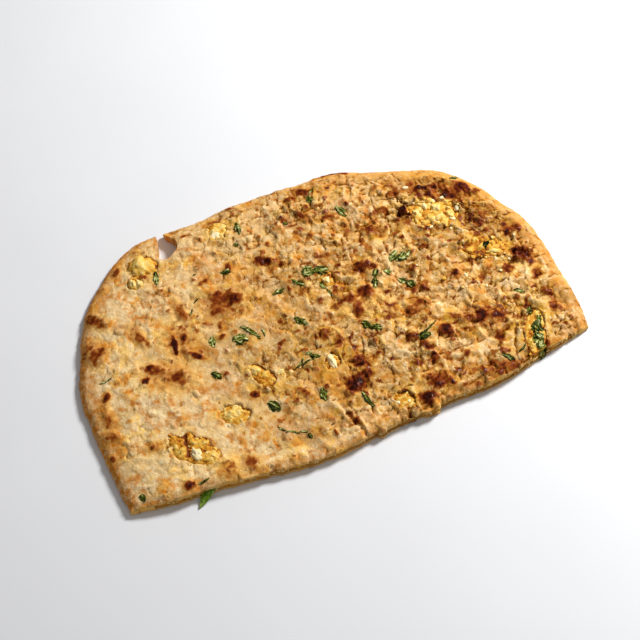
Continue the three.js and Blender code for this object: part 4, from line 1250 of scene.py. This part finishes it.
def crumbs_on_skin(dice):
    """Crumbs that have worked up through the skin where that is thinnest, half sunk in it."""
    tries = SKIN_CRUMB_TRIES
    x, y = dice.uniform(*SKIN_CRUMBS_X, tries), dice.uniform(*SKIN_CRUMBS_Y, tries)
    chosen = dice.uniform(0, 1, tries) < 0.5 * crumbly(x, y) ** 1.5
    x, y = x[chosen], y[chosen]
    bounded_x, bounded_y = kept_inside(x, y, 6.0)
    free = (np.hypot(x - bounded_x, y - bounded_y) < 0.01) & (tear_gap(x, y) > 0.5)
    free &= (x > SKIN_CRUMBS_FROM[0]) & (y > SKIN_CRUMBS_FROM[1])
    for spot in BAKED:
        free &= reach(x, y, spot) > 1.2
    x, y = x[free], y[free]
    placed = []
    for a, b, z in zip(x, y, top_of(surface_of(dough_mesh), x, y)):
        half = 0.5 + 0.9 * dice.uniform() ** 2
        tone = dice.uniform(0.3, 0.95)
        placed.append((a, b, z, half * dice.uniform(0.8, 1.4), half, 0.55 * half, dice.uniform(0, 360), tone))
    return placed


def crumbs_at_cut(dice):
    """Small crumbs that stand out of the layer's face along the cut."""
    placed = []
    for x, y in stretch(CUT_LEFT, CUT_RIGHT, CUT_STEPS):
        half = dice.uniform(0.45, 0.85)
        place = np.array([x + dice.uniform(-0.5, 0.5), y])
        x, y = moved_in(place, FILLING_BACK + dice.uniform(-0.3, 0.7))
        if CUT_ENDS[0] < x < CUT_ENDS[1]:
            z = FILLING_LOW + dice.uniform(0.5, 1.0)
            placed.append((x, y, z, half, half, 0.6, 0, dice.uniform(0.2, 0.9)))
    return placed


def filling_form():
    dice = np.random.default_rng(91)
    crumbs = [place for index in range(len(TEARS)) for place in crumbs_in(index, dice)]
    whole = []
    for x, y, a, b, top, turn, tone in FLORETS:
        high = min(a, b, FLORET_HALF_HEIGHT)
        whole.append((x, y, top - 0.95 * high, a, b, high, turn, tone))
    slab = pocket_sheet("slab", SLAB_GRID, CLEAR, FILLING_BACK, FILLING_LOW, filling_top)
    slab = carved(slab, notch_cutter(CLEAR))
    paint(slab, {"tone": np.full(len(slab.vertices), FILLING_TONE)})
    bm = bmesh.new()
    for mesh in (
        slab, broken_lumps(crumbs, 3, dice), broken_lumps(whole, 4, dice, 0),
        broken_lumps(crumbs_at_cut(dice), 2, dice), broken_lumps(crumbs_on_skin(dice), 2, dice),
        *[mound(index) for index in range(len(TEARS))],
    ):
        bm.from_mesh(mesh)
    return mesh_of(bm, "filling")


# From scorched to white: how pale, and the colour as seen on a screen.
FILLING_COLOURS = [
    (0.0, 118, 54, 4), (0.15, 184, 106, 16), (0.35, 222, 158, 46), (0.55, 238, 190, 84),
    (0.75, 246, 214, 132), (1.0, 248, 232, 188),
]


def filling_finish():
    material, wires = finish("spiced cauliflower")
    fine = mottle(wires, 0.7, 3.0, 0.6, 0.2)
    broad = mottle(wires, 3.0, 2.0, 0.5, 0.4)
    tone = painted(wires, "tone") + 0.6 * (fine - 0.5) + 0.4 * (broad - 0.5)
    colour = ramped(wires, tone, FILLING_COLOURS)
    shaded(wires, colour, 0.42 + 0.15 * fine, fine, 0.25, **{"Specular IOR Level": 0.1})
    return material


filling_mesh = filling_form()
add_piece("cauliflower", filling_mesh, filling_finish(), "filling", "filling")

# Coriander
# Fresh coriander, chopped. Its bits lie flat on the skin, half pressed into it, their edges
# toothed and their ribs raised, and one hangs out of the filling at the cut.

LEAF_THICK = 0.3
LEAF_OVER = 0.22  # how far a leaf's upper face lies over the skin
LEAF_LOWEST = 0.4  # and over the floor
# The second layer is how much paler the ribs, veins and streaks are, as the leaf's own colour, with painted
# light on the crests of its crumples.
LEAF_LAYERS = ("tone", "vein", "fresh")  # how light, how raised, and 1 for an unwilted leaf
RIB_HEIGHT = 0.14
RIB_WIDTH = 0.2  # as a part of the half width
VEIN_HEIGHT = 0.06
VEINS_APART = 1.6
CRUMPLED_HEIGHT = 0.24
BLADE_STEPS = (0.35, 0.3)  # of its grid, along and across
FEWEST_STEPS = (8, 4)
SIDE_LOBE = 0.42  # how far its tip lies out from the midrib, as a part of the width
LOBE_FOOT = 0.18  # where it starts, as a part of the midrib
# Bits of leaf: both ends of the midrib, the width, how light, from 0 to 1, and how many lobes.
BLADES = [
    ((2.3, 57.6), (8.5, 56.2), 5.6, 0.5, 3), ((7.5, 56.2), (14.6, 55), 4.6, 0.45, 3),
    ((-3.4, 56), (1, 50.8), 3, 0.35, 3), ((-14.4, 52.3), (-8.4, 53.8), 2.4, 0.3, 3),
    ((-10.8, 36.6), (-7.1, 30.4), 3.2, 0.5, 3), ((42, 46.7), (47.5, 50.6), 3.4, 0.75, 3),
    ((45, 45.6), (53, 48.1), 3.6, 0.6, 3), ((34.2, 44.6), (31.6, 41.6), 2.4, 0.35, 1),
    ((31.4, 41.4), (29, 36.2), 3, 0.3, 3), ((36.6, 42.6), (40.2, 41.4), 2.8, 0.4, 3),
    ((41.6, 36.8), (44, 33.4), 3.2, 0.75, 3), ((43.6, 33.8), (46.6, 29.8), 2.8, 0.6, 3),
    ((15.2, 21.5), (18.4, 18.4), 3.6, 0.3, 3), ((18, 19), (22.5, 14.9), 3, 0.5, 3),
    ((-13, 16.3), (-9, 12.6), 2, 0.5, 1), ((-40.4, 38), (-34.2, 34.3), 4.8, 0.45, 3),
    ((-34.8, 42.2), (-29.2, 32.5), 1.3, 0.1, 0), ((-33.6, 41), (-28.6, 33.8), 1.1, 0.3, 0),
    ((-48.2, 43), (-49.6, 37.2), 3.2, 0.6, 3), ((-55.8, 25.6), (-52.9, 21), 3.2, 0.3, 3),
    ((-39.5, 1.2), (-36, -4.4), 4.6, 0.4, 3), ((0, -11), (1.4, -20.2), 1.9, 0.25, 1),
    ((-15.3, -2.2), (-16.3, -8.6), 3, 0.4, 3), ((34.9, 3.2), (40.7, 3.2), 4.6, 0.1, 3),
    ((64, -19.8), (68.4, -24.2), 2.8, 0.1, 3), ((87.4, -10.4), (83.4, -17), 4.8, 0.1, 3),
    ((83.2, -16), (83.6, -22), 5.2, 0.9, 3), ((83.4, -21), (80.4, -26.4), 4.2, 0.5, 3),
    ((87.6, -2.4), (86.2, -6.4), 2.6, 0, 1), ((89.4, -8.4), (87.2, -12.6), 2.2, 0.8, 1),
    ((84.8, 35.4), (88.2, 37.6), 2.2, 0, 1), ((-13.6, 96.4), (-14.6, 89.8), 2.8, 0.6, 3),
    ((33.1, 86.4), (35.2, 78.8), 2.8, 0.6, 3), ((24.1, 96.6), (22.7, 92.2), 2.8, 0.3, 3),
    ((85.6, 8.6), (90, 5.7), 2.2, 0.1, 3), ((-57.8, 87), (-59.8, 79.4), 2.8, 0.5, 3),
    ((-30.8, 73.7), (-26.6, 71.8), 2.4, 0.3, 3), ((-105.8, -16.8), (-105.5, -20.4), 2.2, 0.3, 1),
    ((89.4, 78.4), (94.2, 79), 2, 0.3, 3), ((8, 49.8), (8.6, 45.3), 1.8, 0.6, 1),
    ((6.4, 87.1), (8.5, 86.2), 1.4, 0.4, 1), ((-19.4, 85.4), (-17.6, 84.2), 1.6, 0.7, 1),
    ((-30.2, -20), (-29.4, -22.6), 1.4, 0.1, 1),
]
# Stems: both ends, the thickness and how light.
STEMS = [
    ((9.2, 45), (9.4, 40), 0.8, 0.15), ((-26.5, 37), (-26.8, 33), 0.8, 0.3),
    ((-102, 41.5), (-96.3, 41.7), 0.7, 0.2), ((-40.6, -11.7), (-38.3, -14.9), 0.7, 0.15),
    ((-38.5, -15.4), (-33, -17.9), 0.7, 0.8), ((-32.6, -17), (-29.7, -18.9), 0.8, 0.8),
    ((-21.7, 12), (-15.8, 15.6), 0.8, 0.2), ((-14.3, 16.6), (-11.2, 16.9), 1, 0.35),
    ((-18.5, 11.7), (-11.8, 12.6), 0.7, 0.2), ((37, 4.4), (46.1, 8.5), 0.7, 0.1),
    ((71.4, -21.6), (76.9, -18.9), 0.8, 0.1), ((24.3, 97.1), (28.7, 101), 0.7, 0.3),
    ((-77, -22.2), (-82.4, -22.6), 0.9, 0.25), ((-42.8, 77.8), (-41.4, 77.2), 0.7, 0.2),
    ((-53, 57), (-50.4, 60.4), 0.6, 0.25), ((-48.6, 62.6), (-45.1, 64.2), 0.6, 0.2),
]
# The leaf that hangs out of the filling: both ends, the width and how light.
HANGING = ((-76.6, -21.2), (-85.3, -30.8), 7.8, 0.9)
HANGING_FROM = 3.7  # height that it starts at
HANGING_DROP = 3.4  # how far down its tip hangs


def blade(bm, leaf, height, seed, pointed=0.0):
    """One lobe of a leaf: a grid bent to a toothed outline, ribbed and crumpled, with a thickness."""
    (x0, y0), (x1, y1), wide, light = leaf
    long = math.hypot(x1 - x0, y1 - y0)
    steps = [
        max(fewest, int(size / step)) for size, step, fewest in zip((long, wide), BLADE_STEPS, FEWEST_STEPS)
    ]
    grid = bmesh.ops.create_grid(bm, x_segments=steps[0], y_segments=steps[1], size=0.5)["verts"]
    t, s = np.array([(v.co.x + 0.5, 2 * v.co.y) for v in grid]).T
    teeth = 1 + 0.5 * noise(1.1 * long * t + 9 * seed, 3.0 * np.sign(s), 1, 500)
    half = 0.58 * wide * np.sin(np.pi * np.clip(0.1 + 0.84 * t, 0, 1)) ** 0.7 * teeth
    half = half + pointed * (wide / 2 * (1 - 0.95 * t**1.4) - half)
    along = np.array([x1 - x0, y1 - y0]) / long
    off = s * half + 0.1 * long * np.sin(np.pi * t) * math.sin(seed * 1.7)
    x = x0 + along[0] * long * t - along[1] * off
    y = y0 + along[1] * long * t + along[0] * off
    rib = bell(s, RIB_WIDTH)
    veins = np.abs(np.sin(np.pi * (long / VEINS_APART) * (t - 0.25 * np.abs(s)))) ** 6 * (1 - rib)
    crumpled = noise(x + seed, y, 1.5, 600) + 0.5 * noise(x, y + seed, 0.8, 601)
    z = height(x, y, t) + LEAF_OVER + RIB_HEIGHT * rib + VEIN_HEIGHT * veins
    z = np.maximum(z + CRUMPLED_HEIGHT * crumpled * min(wide / 2, 1), LEAF_LOWEST)
    streaks = noise(off / 0.9 + seed, long * t / 4, 1, 602)
    streaks = streaks + 0.5 * noise(off / 0.5, long * t / 2 + seed, 1, 603)
    # Paler along the ribs and veins and in streaks, which is the leaf's own colour, and paler on the crests
    # of its crumples, which is painted light.
    ribs_and_lit_crumples = 0.6 * np.maximum(rib, 0.5 * veins) + 0.62 * streaks + 0.25 * crumpled
    tone, vein, fresh = (bm.verts.layers.float[name] for name in LEAF_LAYERS)
    for v, place, raised in zip(grid, np.stack([x, y, z], 1) * MM, ribs_and_lit_crumples):
        v.co = place
        v[tone] = light
        v[vein] = raised * (1 - 0.6 * pointed)
        v[fresh] = pointed
    faces = list({face for v in grid for face in v.link_faces})
    made = bmesh.ops.extrude_face_region(bm, geom=faces)["geom"]
    under = [v for v in made if isinstance(v, bmesh.types.BMVert)]
    bmesh.ops.translate(bm, verts=under, vec=(0, 0, -LEAF_THICK * MM))


def leaf_bit(bm, leaf, height, seed):
    """A chopped bit of leaf: one lobe, or a middle lobe with one on either side."""
    (x0, y0), (x1, y1), wide, light, lobes = leaf
    long = math.hypot(x1 - x0, y1 - y0)
    ahead = math.atan2(y1 - y0, x1 - x0)
    blade(bm, ((x0, y0), (x1, y1), wide * (1.0 if lobes < 3 else 0.66), light), height, seed)
    for side in (-1, 1) if lobes == 3 else ():
        base = (x0 + LOBE_FOOT * (x1 - x0), y0 + LOBE_FOOT * (y1 - y0))
        turn = ahead + side * math.atan2(SIDE_LOBE * wide, long / 2)
        far = math.hypot(SIDE_LOBE * wide, long / 2) * (1.05 + 0.2 * math.sin(3 * seed + side))
        tip = (base[0] + far * math.cos(turn), base[1] + far * math.sin(turn))
        blade(bm, (base, tip, 0.5 * wide, light + 0.12 * side), height, 3 * seed + side)


def coriander_form():
    bm = bmesh.new()
    for name in LEAF_LAYERS:
        bm.verts.layers.float.new(name)
    tree = surface_of(dough_mesh, filling_mesh)

    def lying(x, y, t):
        return top_of(tree, x, y)

    def hanging(x, y, t):
        return HANGING_FROM - HANGING_DROP * smooth(1.1 * (t - 0.1))

    for index, leaf in enumerate(BLADES):
        leaf_bit(bm, leaf, lying, index)
    for index, stem in enumerate(STEMS, 200):
        blade(bm, stem, lying, index)
    blade(bm, HANGING, hanging, 31, pointed=1.0)
    bmesh.ops.recalc_face_normals(bm, faces=bm.faces)
    return mesh_of(bm, "coriander")


# From the painted shade in a leaf's hollows to its pale ribs and the painted light on its crumples: how
# light, and the colour as seen on a screen.
LEAF_COLOURS = [
    (0.0, 16, 18, 2), (0.3, 46, 54, 6), (0.5, 84, 92, 20), (0.7, 142, 144, 58), (1.0, 222, 220, 162),
]
FRESH_COLOUR = (104, 146, 34)


def leaf_finish():
    material, wires = finish("coriander leaf")
    fine = mottle(wires, 0.5, 3.0, 0.6, 0.1)
    broad = mottle(wires, 1.6, 2.0, 0.5, 0.6)
    light = 0.12 + 0.4 * painted(wires, "tone") + 0.8 * painted(wires, "vein")
    colour = ramped(wires, light + 1.2 * (broad - 0.5) + 0.8 * (fine - 0.5), LEAF_COLOURS)
    colour = blended(wires, painted(wires, "fresh") * 0.65, colour, srgb(*FRESH_COLOUR))
    shaded(wires, colour, 0.5 + 0.1 * fine, fine, 0.2, **{"Specular IOR Level": 0.05})
    return material


add_piece("coriander", coriander_form(), leaf_finish(), "coriander", *leaf_nodes)

# Stage: a plain pale floor, soft daylight from behind on the right and the camera

FLOOR_HALF = 1500.0
FLOOR_LOW = 0.1  # it lies this far under the bread, so that their faces don't meet
FLOOR_COLOURS = [(232, 233, 236), (238, 239, 241)]
# Lamps: which way they shine, round from +Y and down, how far off, how wide and how strong, in W.
LAMPS = {"window": (252, 38, 900, 220, 11.0), "fill": (330, 60, 1100, 900, 0.6)}
LAMPS_AIM = (0, 30, 0)
ROOM_COLOUR = (1.0, 0.98, 0.95, 1)
ROOM_LIGHT = 0.23
CAMERA_TURN = 25.0  # how far it looks to the right of +Y
CAMERA_DOWN = 56.0  # and how far down
CAMERA_FAR = 750.0
CAMERA_AIM = (0.848, 34.471, 0.0)  # the point of the floor in the middle of the picture
CAMERA_LENS = 93.33
SENSOR = 36.0


def aimed(thing, at, turn, down, far):
    """Puts a lamp or the camera at that distance from a point, looking at it."""
    turn, down = math.radians(turn), math.radians(down)
    level = math.cos(down)
    direction = Vector((math.sin(turn) * level, math.cos(turn) * level, -math.sin(down)))
    thing.location = (Vector(at) - direction * far) * MM
    thing.rotation_mode = "QUATERNION"
    thing.rotation_quaternion = direction.to_track_quat("-Z", "Y")


bm = bmesh.new()
bmesh.ops.create_grid(bm, x_segments=1, y_segments=1, size=FLOOR_HALF * MM)
bmesh.ops.translate(bm, verts=bm.verts, vec=(0, 0, -FLOOR_LOW * MM))
floor = in_the_scene("floor", mesh_of(bm, "floor"))
floor_finish, wires = finish("pale floor")
shade = mottle(wires, 60, 1.0, 0.5)
colour = blended(wires, shade, *[srgb(*screen) for screen in FLOOR_COLOURS])
shaded(wires, colour, 0.55, shade, 0.01)
floor.data.materials.append(floor_finish)

for name, (turn, down, far, wide, watts) in LAMPS.items():
    light = bpy.data.lights.new(name, "AREA")
    light.shape = "DISK"
    light.size = wide * MM
    light.energy = watts
    aimed(in_the_scene(name, light), LAMPS_AIM, turn, down, far)

world = bpy.data.worlds.new("room")
world.use_nodes = True
world.node_tree.nodes["Background"].inputs["Color"].default_value = ROOM_COLOUR
world.node_tree.nodes["Background"].inputs["Strength"].default_value = ROOM_LIGHT
bpy.context.scene.world = world
bpy.context.scene.view_settings.view_transform = "Standard"

lens = bpy.data.cameras.new("camera")
lens.sensor_width = SENSOR
lens.lens = CAMERA_LENS
camera = in_the_scene("camera", lens)
aimed(camera, CAMERA_AIM, CAMERA_TURN, CAMERA_DOWN, CAMERA_FAR)
bpy.context.scene.camera = camera
